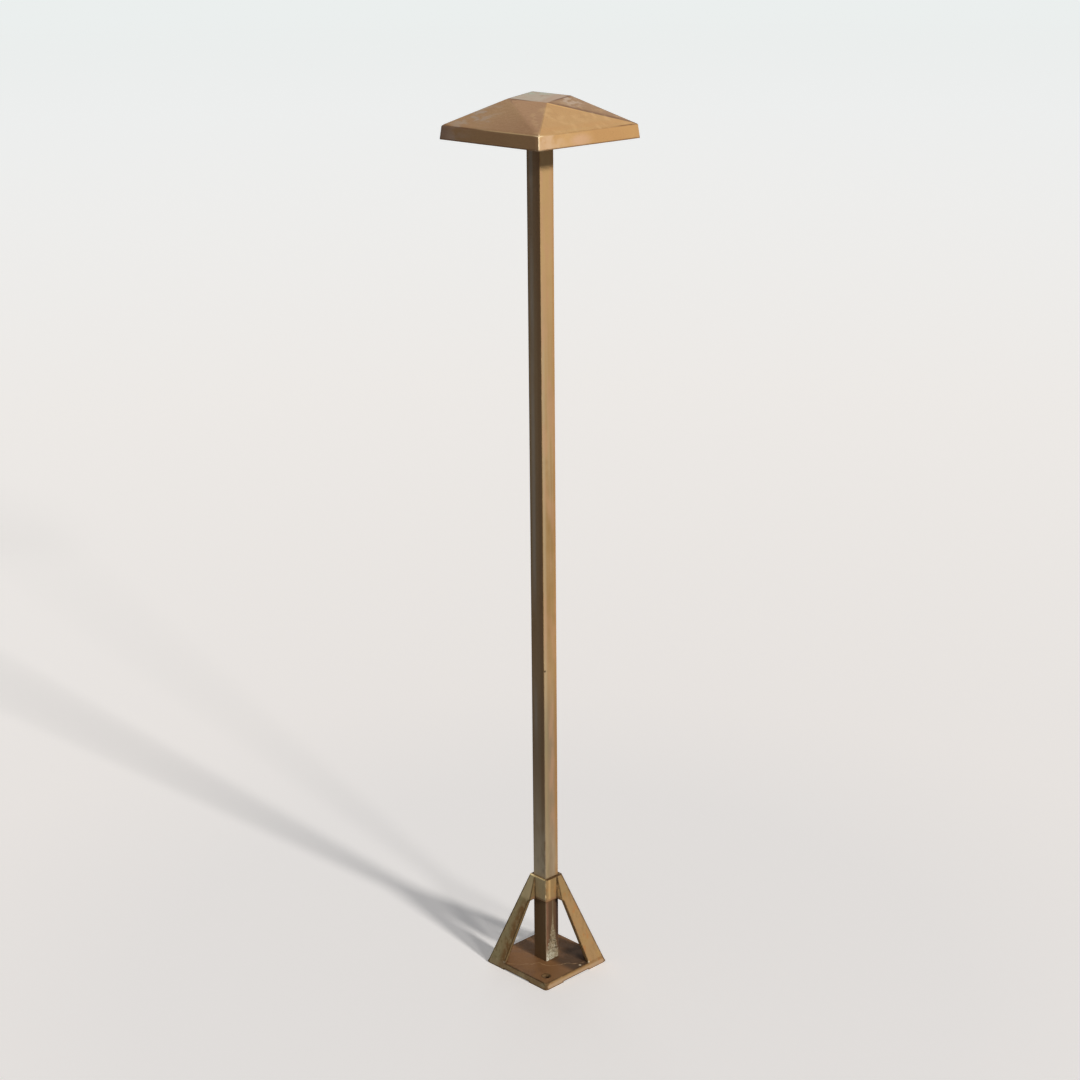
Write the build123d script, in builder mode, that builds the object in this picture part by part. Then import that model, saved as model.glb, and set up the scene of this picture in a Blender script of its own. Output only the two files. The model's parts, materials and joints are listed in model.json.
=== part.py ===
from build123d import *
from math import cos, radians, sin, sqrt, tan
import os

# Path light: a twisted-top pyramid cap on a square tube post, which stands in an open cast pyramid
# base. The origin is the middle of the base on the ground, +Z up, and the sides run along X and Y.
# The front corner, with a mounting hole in the open, is at +X -Y; the legs stand at +X +Y and -X -Y.

# Driving dimensions, in millimetres and degrees.
overall_height = 940.0          # ground to the middle of the plateau

cap_side = 139.0                # outside of the skirt at its lower edge
cap_draft = 1.5                 # how far each skirt wall leans out from its top to its lower edge
cap_corner_radius = 1.6
cap_inner_radius = 1.0
cap_wall = 3.0
skirt_height = 13.8
roof_height = 26.6
plateau_side = 44.2
plateau_twist = 13.0            # turn of the plateau against the skirt, seen from above
plateau_fall = 4.5              # the plateau sheds water towards the front corner
boss_side = 25.0
boss_corner_radius = 3.0
boss_depth = 15.5               # middle of the plateau down to the foot of the boss
boss_thread_depth = 5.0

post_side = 19.05
post_wall = 2.1
post_corner_radius = 0.9
post_bore_radius = 0.5
cap_seat_drop = 3.0             # the post ends this far below the lower edge of the skirt

base_side = 93.0
plate_corner_radius = 4.0
leg_corner_radius = 1.8
plate_thickness = 7.0
leg_wall = 4.0
collar_wall = 3.0
collar_corner_radius = 1.2
collar_height = 27.0
base_height = 107.0
leg_foot_width = 23.2           # leg flange, measured on the floor of the base
leg_head_width = 15.0           # leg flange, measured under the collar
leg_top_width = 8.2             # leg flange where it runs out at the top of the collar
window_head_radius = 2.2
pad_side = 27.0
pad_height = 1.0
mount_margin = 14.7             # each mounting hole's middle from the two edges of the plate
mount_hole_radius = 2.75
countersink_radius = 4.6
countersink_angle = 90.0

collar_flange = 3.0             # thickness of the slip collar's flange
spigot_length = 25.0
spigot_wall = 1.3
pillar_radius = 1.25
pillar_edge = 0.65              # metal left between a pillar and the outside of the flange
pillar_seat_depth = 2.5
gasket_thickness = 1.0
gasket_width = 2.2
glass_wall = 1.5
glass_gap = 1.5                 # between the glass tube and each pillar
reflector_sheet = 0.8
reflector_flat = 28.0
reflector_side = 76.0
reflector_slope = 18.0

lamp_base_height = 4.0
lamp_globe_height = 20.0
lamp_globe_wall = 0.6
lamp_dome_rise = 2.2
lamp_pin_radius = 0.35
lamp_pin_length = 6.8
lamp_pin_spacing = 4.0
lamp_core_gap = 1.4             # between the core's flats and the inside of the globe
lamp_core_height = 16.0
lamp_core_sides = 6
chip_rows = 3
chip_width = 1.6
chip_height = 3.0
chip_thickness = 0.4
chip_pitch = 4.6

socket_margin = 0.6             # the socket is this much larger than the lamp, on the radius
socket_height = 11.0
socket_drop = 6.5               # socket top below the top of the post
contact_wall = 0.4
contact_tab_width = 1.2
contact_tab_sheet = 0.4
bracket_sheet = 1.2
bracket_height = 24.0
bracket_heel = 1.0              # the bracket's web stands this far inside the edge of the socket
bracket_toe = 1.8               # the bracket's free edges end this far inside the edge of the socket
carrier_height = 10.0
small_screw_radius = 1.25
small_screw_head_radius = 2.3
small_screw_head_height = 1.5
small_screw_head_chamfer = 0.5
small_screw_length = 4.0

lead_radius = 0.8
lead_edge = 0.5                 # ceramic left outside each lead in the socket
lead_gap = 0.5                  # between each lead and the bracket
splice_radius = 1.9
splice_length = 22.0
splice_lift = 18.0              # lower end of the splices above the nipple
splice_grip = 11.0              # how far each lead reaches into its splice

grub_radius = 2.0
grub_length = 3.0
grub_key = 2.0                  # across the flats of the hexagon socket
grub_key_depth = 1.4
collar_screw_offset = 3.4

foot_block_height = 14.0
nipple_radius = 4.85
nipple_bore_radius = 3.25
nipple_stand = 3.0              # nipple above the foot block
nut_wall = 2.15
nut_thickness = 2.5
washer_width = 3.15
washer_thickness = 1.0
recess_margin = 1.5             # between the washer and the wall of the recess
bushing_bore_radius = 2.4
bushing_flange_margin = 0.15    # the bushing's flange is this much smaller than the nipple
bushing_flange = 0.6
bushing_length = 6.0

# Clearances.
thread_clearance = 0.03         # a screw or rod in its hole, on the radius
seat_clearance = 0.1            # square plugs in the post, the post in the collar, on each side
hole_clearance = 0.15           # a loose hole over a rod, on the radius
socket_clearance = 0.8          # slip collar bore around the socket, on the radius
contact_clearance = 0.1         # a lamp pin in its contact, on the radius
pin_end_clearance = 0.3         # below a lamp pin in its contact
ground_clearance = 0.4          # bushing above the ground

# Heights that follow.
skirt_bottom = overall_height - roof_height - skirt_height
skirt_top = overall_height - roof_height
post_top = skirt_bottom - cap_seat_drop
post_bottom = plate_thickness
flange_top = post_top + collar_flange
boss_bottom = overall_height - boss_depth
glass_bottom = flange_top + gasket_thickness
glass_top = boss_bottom - reflector_sheet - gasket_thickness
contact_length = lamp_pin_length + pin_end_clearance
socket_top = post_top - socket_drop
socket_bottom = socket_top - socket_height
contact_bottom = socket_top - contact_length
tab_bottom = contact_bottom - contact_tab_sheet
carrier_top = socket_bottom - bracket_height
lock_screw_height = post_top - spigot_length / 2
carrier_screw_height = carrier_top - carrier_height / 2
collar_bottom = base_height - collar_height
collar_screw_height = base_height - collar_height / 2
nut_bottom = ground_clearance + bushing_flange
washer_bottom = nut_bottom + nut_thickness
recess_top = washer_bottom + washer_thickness
nipple_top = post_bottom + foot_block_height + nipple_stand
splice_bottom = nipple_top + splice_lift

# Widths that follow.
skirt_top_side = cap_side - 2 * cap_draft
post_bore = post_side - 2 * post_wall
plug_side = post_bore - 2 * seat_clearance
collar_bore = post_side + 2 * seat_clearance
collar_side = collar_bore + 2 * collar_wall
pillar_offset = post_side / 2 - pillar_edge - pillar_radius
glass_radius = sqrt(2) * pillar_offset - pillar_radius - glass_gap
gasket_inner_radius = glass_radius - gasket_width + seat_clearance
gasket_outer_radius = glass_radius + seat_clearance
spigot_bore_radius = plug_side / 2 - spigot_wall
socket_radius = spigot_bore_radius - socket_clearance
lamp_radius = socket_radius - socket_margin
lamp_core_radius = lamp_radius - lamp_globe_wall - lamp_core_gap
contact_inner_radius = lamp_pin_radius + contact_clearance
contact_radius = contact_inner_radius + contact_wall
lead_offset = socket_radius - lead_edge - lead_radius
bracket_width = 2 * (lead_offset - lead_radius - lead_gap)
bracket_back = socket_radius - bracket_heel
bracket_front = socket_radius - bracket_toe
small_hole_radius = small_screw_radius + thread_clearance
leg_slope = (base_side - collar_side) / 2 / base_height
leg_wall_across = leg_wall * sqrt(1 + leg_slope ** 2)
mount_offset = base_side / 2 - mount_margin
washer_radius = nipple_radius + washer_width

# Stock that a cut takes away reaches past the piece by this much.
roof_stock = 2 * roof_height
base_stock = 2 * base_side


def corner_point(side, height, turn):
    """The front corner of a square of this side, turned about the post."""
    reach = side / sqrt(2)
    angle = radians(turn - 45)
    return Vector(reach * cos(angle), reach * sin(angle), height)


def ring_point(index):
    """A corner of the roof's lower edge, counted from the front corner."""
    return corner_point(skirt_top_side, skirt_top, 90 * index)


def plateau_point(index):
    """A corner of the plateau, counted from the front corner and lowered by the fall."""
    point = corner_point(plateau_side, overall_height, plateau_twist + 90 * index)
    away = (point.Y - point.X) / sqrt(2)
    return point + Vector(0, 0, away * tan(radians(plateau_fall)))


def facet_plane(first, second, third, inset):
    """The plane through three points of the roof, facing out, moved in by a wall."""
    normal = (second - first).cross(third - first).normalized()
    return Plane(origin=first - normal * inset, x_dir=second - first, z_dir=normal)


def roof_planes(inset):
    """The plateau and the eight triangular facets of the roof."""
    planes = [facet_plane(plateau_point(0), plateau_point(1), plateau_point(2), inset)]
    for side in range(4):
        low, next_low = ring_point(side), ring_point(side + 1)
        high, next_high = plateau_point(side), plateau_point(side + 1)
        planes.append(facet_plane(low, next_low, high, inset))
        planes.append(facet_plane(next_low, next_high, high, inset))
    return planes


def cap_block(inset, corner_radius):
    """The cap's outer form, or with an inset the space inside its wall."""
    with BuildPart() as block:
        with BuildSketch(Plane.XY.offset(skirt_bottom)):
            RectangleRounded(cap_side - 2 * inset, cap_side - 2 * inset, corner_radius)
        with BuildSketch(Plane.XY.offset(skirt_top)):
            RectangleRounded(skirt_top_side - 2 * inset, skirt_top_side - 2 * inset, corner_radius)
        loft(ruled=True)
        with BuildSketch(Plane.XY.offset(skirt_top)):
            RectangleRounded(skirt_top_side - 2 * inset, skirt_top_side - 2 * inset, corner_radius)
        extrude(amount=roof_stock)
        for plane in roof_planes(inset):
            split(bisect_by=plane, keep=Keep.BOTTOM)
    return block.part


def pillar_places():
    """The four pillars stand over the corners of the post."""
    return GridLocations(2 * pillar_offset, 2 * pillar_offset, 2, 2)


def pin_places():
    """The two lamp pins and their contacts."""
    return GridLocations(0, lamp_pin_spacing, 1, 2)


def lead_places():
    """The two leads, either side of the bracket."""
    return GridLocations(0, 2 * lead_offset, 1, 2)


def round_bar(radius, bottom, top, bore=0.0):
    """A round bar or tube on the middle line of the post."""
    with BuildPart() as bar:
        with BuildSketch(Plane.XY.offset(bottom)):
            Circle(radius)
            if bore > 0:
                Circle(bore, mode=Mode.SUBTRACT)
        extrude(amount=top - bottom)
    return bar.part


def pan_screw(seat, up):
    """A small pan head screw on the middle line, its head on the seat and its shank along up."""
    with BuildPart() as screw:
        with BuildSketch(Plane.XY.offset(seat)):
            Circle(small_screw_radius)
        extrude(amount=up * small_screw_length)
        with BuildSketch(Plane.XY.offset(seat)):
            Circle(small_screw_head_radius)
        extrude(amount=-up * small_screw_head_height)
        crown = screw.edges().filter_by(GeomType.CIRCLE).sort_by(Axis.Z)[0 if up > 0 else -1]
        chamfer(crown, small_screw_head_chamfer)
    return screw.part


def side_plane(x, y, height, outwards):
    """A plane that faces out of the side of the post or the collar."""
    return Plane(origin=(x, y, height), x_dir=(0, 0, 1), z_dir=outwards)


parts = {}

# The cap: one casting, hollow below, with a boss in the middle that takes the four pillars.
cap_outside = cap_block(0, cap_corner_radius)
cap_inside = cap_block(cap_wall, cap_inner_radius)

with BuildPart() as cap_hollow:
    add(cap_inside)
    with BuildSketch(Plane.XY.offset(boss_bottom)):
        RectangleRounded(boss_side, boss_side, boss_corner_radius)
    extrude(amount=roof_stock, mode=Mode.SUBTRACT)

with BuildPart() as cap:
    add(cap_outside)
    add(cap_hollow.part, mode=Mode.SUBTRACT)
    with BuildSketch(Plane.XY.offset(boss_bottom)):
        with pillar_places():
            Circle(pillar_radius + thread_clearance)
    extrude(amount=boss_thread_depth, mode=Mode.SUBTRACT)
parts["cap"] = cap.part

# The reflector: a folded pan with a flat middle, clamped between the boss and the upper gasket.
reflector_drop = (reflector_side - reflector_flat) / 2 * tan(radians(reflector_slope))
with BuildPart() as reflector:
    for top, mode in ((boss_bottom, Mode.ADD), (boss_bottom - reflector_sheet, Mode.SUBTRACT)):
        with BuildSketch(Plane.XY.offset(top)):
            Rectangle(reflector_flat, reflector_flat)
        with BuildSketch(Plane.XY.offset(top - reflector_drop)):
            Rectangle(reflector_side, reflector_side)
        loft(ruled=True, mode=mode)
    with BuildSketch(Plane.XY.offset(boss_bottom)):
        with pillar_places():
            Circle(pillar_radius + hole_clearance)
    extrude(amount=-reflector_sheet, mode=Mode.SUBTRACT)
parts["reflector"] = reflector.part

# The slip collar: a flange that rests on the post and a spigot that slides down its bore.
with BuildPart() as slip_collar:
    with BuildSketch(Plane.XY.offset(post_top)):
        RectangleRounded(post_side, post_side, post_corner_radius)
    extrude(amount=collar_flange)
    with BuildSketch(Plane.XY.offset(post_top)):
        RectangleRounded(plug_side, plug_side, post_bore_radius)
    extrude(amount=-spigot_length)
    with BuildSketch(Plane.XY.offset(post_top - spigot_length)):
        Circle(spigot_bore_radius)
    extrude(amount=spigot_length + collar_flange, mode=Mode.SUBTRACT)
    with BuildSketch(Plane.XY.offset(flange_top)):
        with pillar_places():
            Circle(pillar_radius + thread_clearance)
    extrude(amount=-pillar_seat_depth, mode=Mode.SUBTRACT)
parts["slip_collar"] = slip_collar.part

# Four pillars carry the cap above the slip collar.
with BuildPart() as cap_pillars:
    with BuildSketch(Plane.XY.offset(flange_top - pillar_seat_depth)):
        with pillar_places():
            Circle(pillar_radius)
    extrude(amount=boss_bottom + boss_thread_depth - flange_top + pillar_seat_depth)
parts["cap_pillars"] = cap_pillars.part

# The frosted glass tube round the lamp, between two gaskets.
upper_gasket_top = glass_top + gasket_thickness
parts["glass_tube"] = round_bar(glass_radius, glass_bottom, glass_top, glass_radius - glass_wall)
parts["lower_gasket"] = round_bar(gasket_outer_radius, flange_top, glass_bottom, gasket_inner_radius)
parts["upper_gasket"] = round_bar(gasket_outer_radius, glass_top, upper_gasket_top, gasket_inner_radius)

# The post: a square tube with two tapped holes in its back right wall.
with BuildPart() as post:
    with BuildSketch(Plane.XY.offset(post_bottom)):
        RectangleRounded(post_side, post_side, post_corner_radius)
        RectangleRounded(post_bore, post_bore, post_bore_radius, mode=Mode.SUBTRACT)
    extrude(amount=post_top - post_bottom)
    for height in (lock_screw_height, carrier_screw_height):
        with BuildSketch(side_plane(0, 0, height, (0, 1, 0))):
            Circle(grub_radius + thread_clearance)
        extrude(amount=post_side, mode=Mode.SUBTRACT)
parts["post"] = post.part

# A grub screw with a hexagon socket, standing on its tip at the origin. It is placed four times.
with BuildPart() as grub_screw:
    with BuildSketch():
        Circle(grub_radius)
    extrude(amount=grub_length)
    with BuildSketch(Plane.XY.offset(grub_length)):
        RegularPolygon(grub_key / 2, 6, major_radius=False)
    extrude(amount=-grub_key_depth, mode=Mode.SUBTRACT)

# Two grub screws in the post: the upper one locks the cap, the lower one holds the carrier.
post_grub_tip = plug_side / 2 + thread_clearance
with BuildPart() as post_set_screws:
    with Locations(side_plane(0, post_grub_tip, lock_screw_height, (0, 1, 0)),
                   side_plane(0, post_grub_tip, carrier_screw_height, (0, 1, 0))):
        add(grub_screw.part)
parts["post_set_screws"] = post_set_screws.part

# The lamp socket: a round ceramic body on a bracket inside the top of the post. A pocket under
# each contact takes the tab that the lead is crimped to.
tab_middle = (lead_offset + lamp_pin_spacing / 2) / 2
tab_reach = lead_offset + lead_radius - lamp_pin_spacing / 2
with BuildPart() as lamp_socket:
    with BuildSketch(Plane.XY.offset(socket_bottom)):
        Circle(socket_radius)
    extrude(amount=socket_height)
    with BuildSketch(Plane.XY.offset(socket_top)):
        with pin_places():
            Circle(contact_radius + thread_clearance)
    extrude(amount=-contact_length, mode=Mode.SUBTRACT)
    with BuildSketch(Plane.XY.offset(tab_bottom)):
        with GridLocations(0, 2 * tab_middle, 1, 2):
            Rectangle(contact_tab_width + 2 * thread_clearance, tab_reach + 2 * thread_clearance)
    extrude(amount=contact_tab_sheet, mode=Mode.SUBTRACT)
    with BuildSketch(Plane.XY.offset(socket_bottom)):
        Circle(small_hole_radius)
    extrude(amount=small_screw_length - bracket_sheet, mode=Mode.SUBTRACT)
    with BuildSketch(Plane.XY.offset(socket_bottom)):
        with lead_places():
            Circle(lead_radius + thread_clearance)
    extrude(amount=tab_bottom - socket_bottom, mode=Mode.SUBTRACT)
parts["lamp_socket"] = lamp_socket.part

# Two sprung contact sleeves in the socket grip the lamp's pins. Each has a tab over its lead.
with BuildPart() as socket_contacts:
    with BuildSketch(Plane.XY.offset(contact_bottom)):
        with pin_places():
            Circle(contact_radius)
            Circle(contact_inner_radius, mode=Mode.SUBTRACT)
    extrude(amount=contact_length)
    with BuildSketch(Plane.XY.offset(tab_bottom)):
        with GridLocations(0, 2 * tab_middle, 1, 2):
            Rectangle(contact_tab_width, tab_reach)
    extrude(amount=contact_tab_sheet)
parts["socket_contacts"] = socket_contacts.part

# The carrier: a square block fixed in the post, with a way through for each lead.
with BuildPart() as bracket_carrier:
    with BuildSketch(Plane.XY.offset(carrier_top)):
        RectangleRounded(plug_side, plug_side, post_bore_radius)
        with lead_places():
            Circle(lead_radius + hole_clearance, mode=Mode.SUBTRACT)
    extrude(amount=-carrier_height)
    with BuildSketch(Plane.XY.offset(carrier_top)):
        Circle(small_hole_radius)
    extrude(amount=bracket_sheet - small_screw_length, mode=Mode.SUBTRACT)
parts["bracket_carrier"] = bracket_carrier.part

# The bracket: a folded strip, its foot on the carrier and its head under the socket.
with BuildPart() as socket_bracket:
    with BuildSketch(Plane.XZ.offset(-bracket_width / 2)):
        with BuildLine():
            Polyline(
                (bracket_front, carrier_top),
                (-bracket_back, carrier_top),
                (-bracket_back, socket_bottom),
                (bracket_front, socket_bottom),
                (bracket_front, socket_bottom - bracket_sheet),
                (bracket_sheet - bracket_back, socket_bottom - bracket_sheet),
                (bracket_sheet - bracket_back, carrier_top + bracket_sheet),
                (bracket_front, carrier_top + bracket_sheet),
                close=True,
            )
        make_face()
    extrude(amount=bracket_width)
    with BuildSketch(Plane.XY.offset(carrier_top)):
        Circle(small_hole_radius)
    extrude(amount=bracket_height, mode=Mode.SUBTRACT)
parts["socket_bracket"] = socket_bracket.part

parts["socket_screw"] = pan_screw(socket_bottom - bracket_sheet, 1)
parts["bracket_screw"] = pan_screw(carrier_top + bracket_sheet, -1)

# Two insulated leads run down the post from the socket to a crimped splice each. The lower half
# of each splice waits for the supply cable.
lead_bottom = splice_bottom + splice_length - splice_grip
with BuildPart() as lamp_leads:
    with BuildSketch(Plane.XY.offset(lead_bottom)):
        with lead_places():
            Circle(lead_radius)
    extrude(amount=tab_bottom - lead_bottom)
parts["lamp_leads"] = lamp_leads.part

with BuildPart() as lead_splices:
    with BuildSketch(Plane.XY.offset(splice_bottom)):
        with lead_places():
            Circle(splice_radius)
            Circle(lead_radius + thread_clearance, mode=Mode.SUBTRACT)
    extrude(amount=splice_length)
parts["lead_splices"] = lead_splices.part

# The lamp: a two-pin capsule, with a ceramic foot, a clear globe and a six-sided core of chips.
lamp_foot_top = socket_top + lamp_base_height
lamp_top = lamp_foot_top + lamp_globe_height
dome_radius = (lamp_radius ** 2 + lamp_dome_rise ** 2) / (2 * lamp_dome_rise)
parts["lamp_base"] = round_bar(lamp_radius, socket_top, lamp_foot_top)

with BuildPart() as lamp_pins:
    with BuildSketch(Plane.XY.offset(socket_top)):
        with pin_places():
            Circle(lamp_pin_radius)
    extrude(amount=-lamp_pin_length)
parts["lamp_pins"] = lamp_pins.part

with BuildPart() as lamp_globe:
    for inset, mode in ((0, Mode.ADD), (lamp_globe_wall, Mode.SUBTRACT)):
        radius = lamp_radius - inset
        top = lamp_top - inset
        shoulder = lamp_top - dome_radius + sqrt((dome_radius - inset) ** 2 - radius ** 2)
        with BuildSketch(Plane.XZ):
            with BuildLine():
                Line((0, lamp_foot_top), (radius, lamp_foot_top))
                Line((radius, lamp_foot_top), (radius, shoulder))
                RadiusArc((radius, shoulder), (0, top), inset - dome_radius)
                Line((0, top), (0, lamp_foot_top))
            make_face()
        revolve(axis=Axis.Z, mode=mode)
parts["lamp_globe"] = lamp_globe.part

with BuildPart() as lamp_core:
    with BuildSketch(Plane.XY.offset(lamp_foot_top)):
        RegularPolygon(lamp_core_radius, lamp_core_sides, major_radius=False)
    extrude(amount=lamp_core_height)
parts["lamp_core"] = lamp_core.part

first_chip = lamp_foot_top + (lamp_core_height - (chip_rows - 1) * chip_pitch) / 2
with BuildPart() as lamp_chips:
    for side in range(lamp_core_sides):
        angle = radians(360 / lamp_core_sides * (side + 0.5))
        outwards = Vector(cos(angle), sin(angle), 0)
        for row in range(chip_rows):
            middle = outwards * lamp_core_radius
            height = first_chip + row * chip_pitch
            with BuildSketch(side_plane(middle.X, middle.Y, height, outwards)):
                Rectangle(chip_height, chip_width)
            extrude(amount=chip_thickness)
parts["lamp_chips"] = lamp_chips.part


# The base: one casting. A hollow pyramid, open at its front and back corners, stands on a plate
# and ends in a square collar round the post.
def base_half(height):
    """Half the outside width of the base at a height above the ground."""
    return base_side / 2 - leg_slope * height


def corner_space(low, low_flange, high, high_flange):
    """The space in front of two leg flanges, open to the front corner."""
    with BuildPart() as space:
        for height, flange in ((low, low_flange), (high, high_flange)):
            jamb = base_half(height) - flange
            with BuildSketch(Plane.XY.offset(height)):
                with Locations((-jamb, jamb)):
                    Rectangle(base_side, base_side, align=(Align.MIN, Align.MAX))
        loft(ruled=True)
    return space.part


with BuildPart() as leg_space:
    for height in (plate_thickness, collar_bottom):
        inner_side = 2 * (base_half(height) - leg_wall_across)
        with BuildSketch(Plane.XY.offset(height)):
            Rectangle(inner_side, inner_side)
    loft(ruled=True)

window_space = corner_space(plate_thickness, leg_foot_width, collar_bottom, leg_head_width)
run_out_width = leg_head_width + window_head_radius
run_out_space = corner_space(collar_bottom, run_out_width, base_height, leg_top_width)

with BuildPart() as window:
    add(window_space)
    head = window.faces().sort_by(Axis.Z)[-1].edges()
    left_edge = head.filter_by(Axis.Y).sort_by(Axis.X)[0]
    right_edge = head.filter_by(Axis.X).sort_by(Axis.Y)[-1]
    fillet([left_edge, right_edge], window_head_radius)

with BuildPart() as base:
    with BuildSketch():
        Rectangle(base_side, base_side)
    with BuildSketch(Plane.XY.offset(base_height)):
        Rectangle(collar_side, collar_side)
    loft(ruled=True)
    add(leg_space.part, mode=Mode.SUBTRACT)
    with PolarLocations(0, 2):
        add(window.part, mode=Mode.SUBTRACT)
        add(run_out_space, mode=Mode.SUBTRACT)
    with BuildSketch(Plane.XY.offset(collar_bottom)):
        Rectangle(collar_side, collar_side)
    extrude(amount=collar_height)
    plate_corners = base.edges().filter_by_position(Axis.Z, 0, plate_thickness, (False, False))
    fillet(plate_corners, plate_corner_radius)
    standing = base.edges().filter_by_position(Axis.Z, plate_thickness, base_height, (False, False))
    fillet(standing.sort_by(SortBy.LENGTH)[-2:], leg_corner_radius)
    fillet(base.edges().filter_by(Axis.Z), collar_corner_radius)
    with BuildSketch(Plane.XY.offset(plate_thickness)):
        RectangleRounded(collar_bore, collar_bore, post_corner_radius)
    extrude(amount=base_height, mode=Mode.SUBTRACT)
    with BuildSketch():
        Rectangle(base_side - 2 * pad_side, base_stock)
        Rectangle(base_stock, base_side - 2 * pad_side)
    extrude(amount=pad_height, mode=Mode.SUBTRACT)
    with BuildSketch():
        Circle(washer_radius + recess_margin)
    extrude(amount=recess_top, mode=Mode.SUBTRACT)
    with BuildSketch():
        Circle(nipple_radius + hole_clearance)
    extrude(amount=plate_thickness, mode=Mode.SUBTRACT)
    with Locations((mount_offset, -mount_offset, plate_thickness),
                   (-mount_offset, mount_offset, plate_thickness)):
        CounterSinkHole(mount_hole_radius, countersink_radius, depth=plate_thickness,
                        counter_sink_angle=countersink_angle)
    for plane in (side_plane(-collar_screw_offset, 0, collar_screw_height, (0, 1, 0)),
                  side_plane(0, collar_screw_offset, collar_screw_height, (-1, 0, 0))):
        with BuildSketch(plane):
            Circle(grub_radius + thread_clearance)
        extrude(amount=base_side, mode=Mode.SUBTRACT)
parts["base"] = base.part

# Two grub screws in the hidden faces of the collar press on the post.
collar_grub_tip = post_side / 2 + thread_clearance
with BuildPart() as collar_set_screws:
    with Locations(side_plane(-collar_screw_offset, collar_grub_tip, collar_screw_height, (0, 1, 0)),
                   side_plane(-collar_grub_tip, collar_screw_offset, collar_screw_height, (-1, 0, 0))):
        add(grub_screw.part)
parts["collar_set_screws"] = collar_set_screws.part

# The foot of the post: a tapped block in its lower end, pulled down on the plate by a hollow
# nipple with a washer and a thin nut in the recess below.
with BuildPart() as foot_block:
    with BuildSketch(Plane.XY.offset(post_bottom)):
        RectangleRounded(plug_side, plug_side, post_bore_radius)
        Circle(nipple_radius + thread_clearance, mode=Mode.SUBTRACT)
    extrude(amount=foot_block_height)
parts["foot_block"] = foot_block.part

parts["hollow_nipple"] = round_bar(nipple_radius, nut_bottom, nipple_top, nipple_bore_radius)
parts["nipple_washer"] = round_bar(
    washer_radius, washer_bottom, recess_top, nipple_radius + hole_clearance)

with BuildPart() as nipple_nut:
    with BuildSketch(Plane.XY.offset(nut_bottom)):
        RegularPolygon(nipple_radius + nut_wall, 6, major_radius=False)
        Circle(nipple_radius + thread_clearance, mode=Mode.SUBTRACT)
    extrude(amount=nut_thickness)
parts["nipple_nut"] = nipple_nut.part

# The outlet bushing keeps the supply cable off the nipple's edge.
with BuildPart() as outlet_bushing:
    with BuildSketch(Plane.XY.offset(nut_bottom)):
        Circle(nipple_bore_radius - thread_clearance)
    extrude(amount=bushing_length)
    with BuildSketch(Plane.XY.offset(nut_bottom)):
        Circle(nipple_radius - bushing_flange_margin)
    extrude(amount=-bushing_flange)
    with BuildSketch(Plane.XY.offset(nut_bottom - bushing_flange)):
        Circle(bushing_bore_radius)
    extrude(amount=bushing_flange + bushing_length, mode=Mode.SUBTRACT)
parts["outlet_bushing"] = outlet_bushing.part

os.makedirs("parts", exist_ok=True)
for name, part in parts.items():
    part.label = name
    export_step(part, f"parts/{name}.step")
    print(name, len(part.solids()), round(part.volume), [round(v, 2) for v in part.bounding_box().size])
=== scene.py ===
# %% [markdown]
# # A garden path light in aged brass
#
# The real object is a low-voltage path light, 940 mm tall. A wide pyramid cap with a twisted top
# shades a small lamp, a square tube carries it, and a cast pyramid base with two open corners
# stands on the ground. All of it is brass that years outdoors have turned brown, gold and green.
#
# The solids come first: they are loaded as a fixed frame, in metres, with every piece in its
# place. This script dresses them. Where a solid already has the right shape it only gets a
# finish; where the real piece has softer edges or finer parts, a new mesh stands in for it.

# %% Load the frame
import json
import math

import bmesh
import bpy
from mathutils import Matrix, Vector, kdtree, noise

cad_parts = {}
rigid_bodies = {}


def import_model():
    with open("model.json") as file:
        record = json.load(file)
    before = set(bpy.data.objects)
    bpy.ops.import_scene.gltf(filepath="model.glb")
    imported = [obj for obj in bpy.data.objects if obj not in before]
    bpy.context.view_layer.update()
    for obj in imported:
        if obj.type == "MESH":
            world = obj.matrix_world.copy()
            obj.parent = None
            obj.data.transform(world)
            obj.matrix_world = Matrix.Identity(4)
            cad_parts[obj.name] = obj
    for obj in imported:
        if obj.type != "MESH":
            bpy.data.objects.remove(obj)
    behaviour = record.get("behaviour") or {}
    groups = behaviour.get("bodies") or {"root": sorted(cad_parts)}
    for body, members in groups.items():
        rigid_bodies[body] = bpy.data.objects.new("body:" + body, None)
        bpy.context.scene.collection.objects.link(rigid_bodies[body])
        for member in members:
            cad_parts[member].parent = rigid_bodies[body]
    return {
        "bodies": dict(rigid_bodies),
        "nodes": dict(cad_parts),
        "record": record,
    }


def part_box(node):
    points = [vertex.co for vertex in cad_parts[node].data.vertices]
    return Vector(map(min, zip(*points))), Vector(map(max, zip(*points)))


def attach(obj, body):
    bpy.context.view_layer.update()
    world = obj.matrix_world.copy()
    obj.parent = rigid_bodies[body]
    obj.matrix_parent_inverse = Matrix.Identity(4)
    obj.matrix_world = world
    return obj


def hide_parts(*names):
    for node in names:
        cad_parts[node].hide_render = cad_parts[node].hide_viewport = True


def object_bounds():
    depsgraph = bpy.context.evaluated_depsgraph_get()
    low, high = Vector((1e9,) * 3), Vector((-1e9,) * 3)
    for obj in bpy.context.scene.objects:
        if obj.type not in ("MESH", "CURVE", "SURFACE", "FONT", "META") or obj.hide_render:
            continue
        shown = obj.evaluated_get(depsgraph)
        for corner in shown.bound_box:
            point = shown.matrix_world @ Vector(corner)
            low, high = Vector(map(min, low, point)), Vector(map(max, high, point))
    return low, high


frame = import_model()
nodes = frame["nodes"]
cad_low, cad_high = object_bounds()
MM = 0.001
print("nodes:", len(nodes), "bodies:", sorted(frame["bodies"]), "top:", round(cad_high.z, 4))

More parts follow.
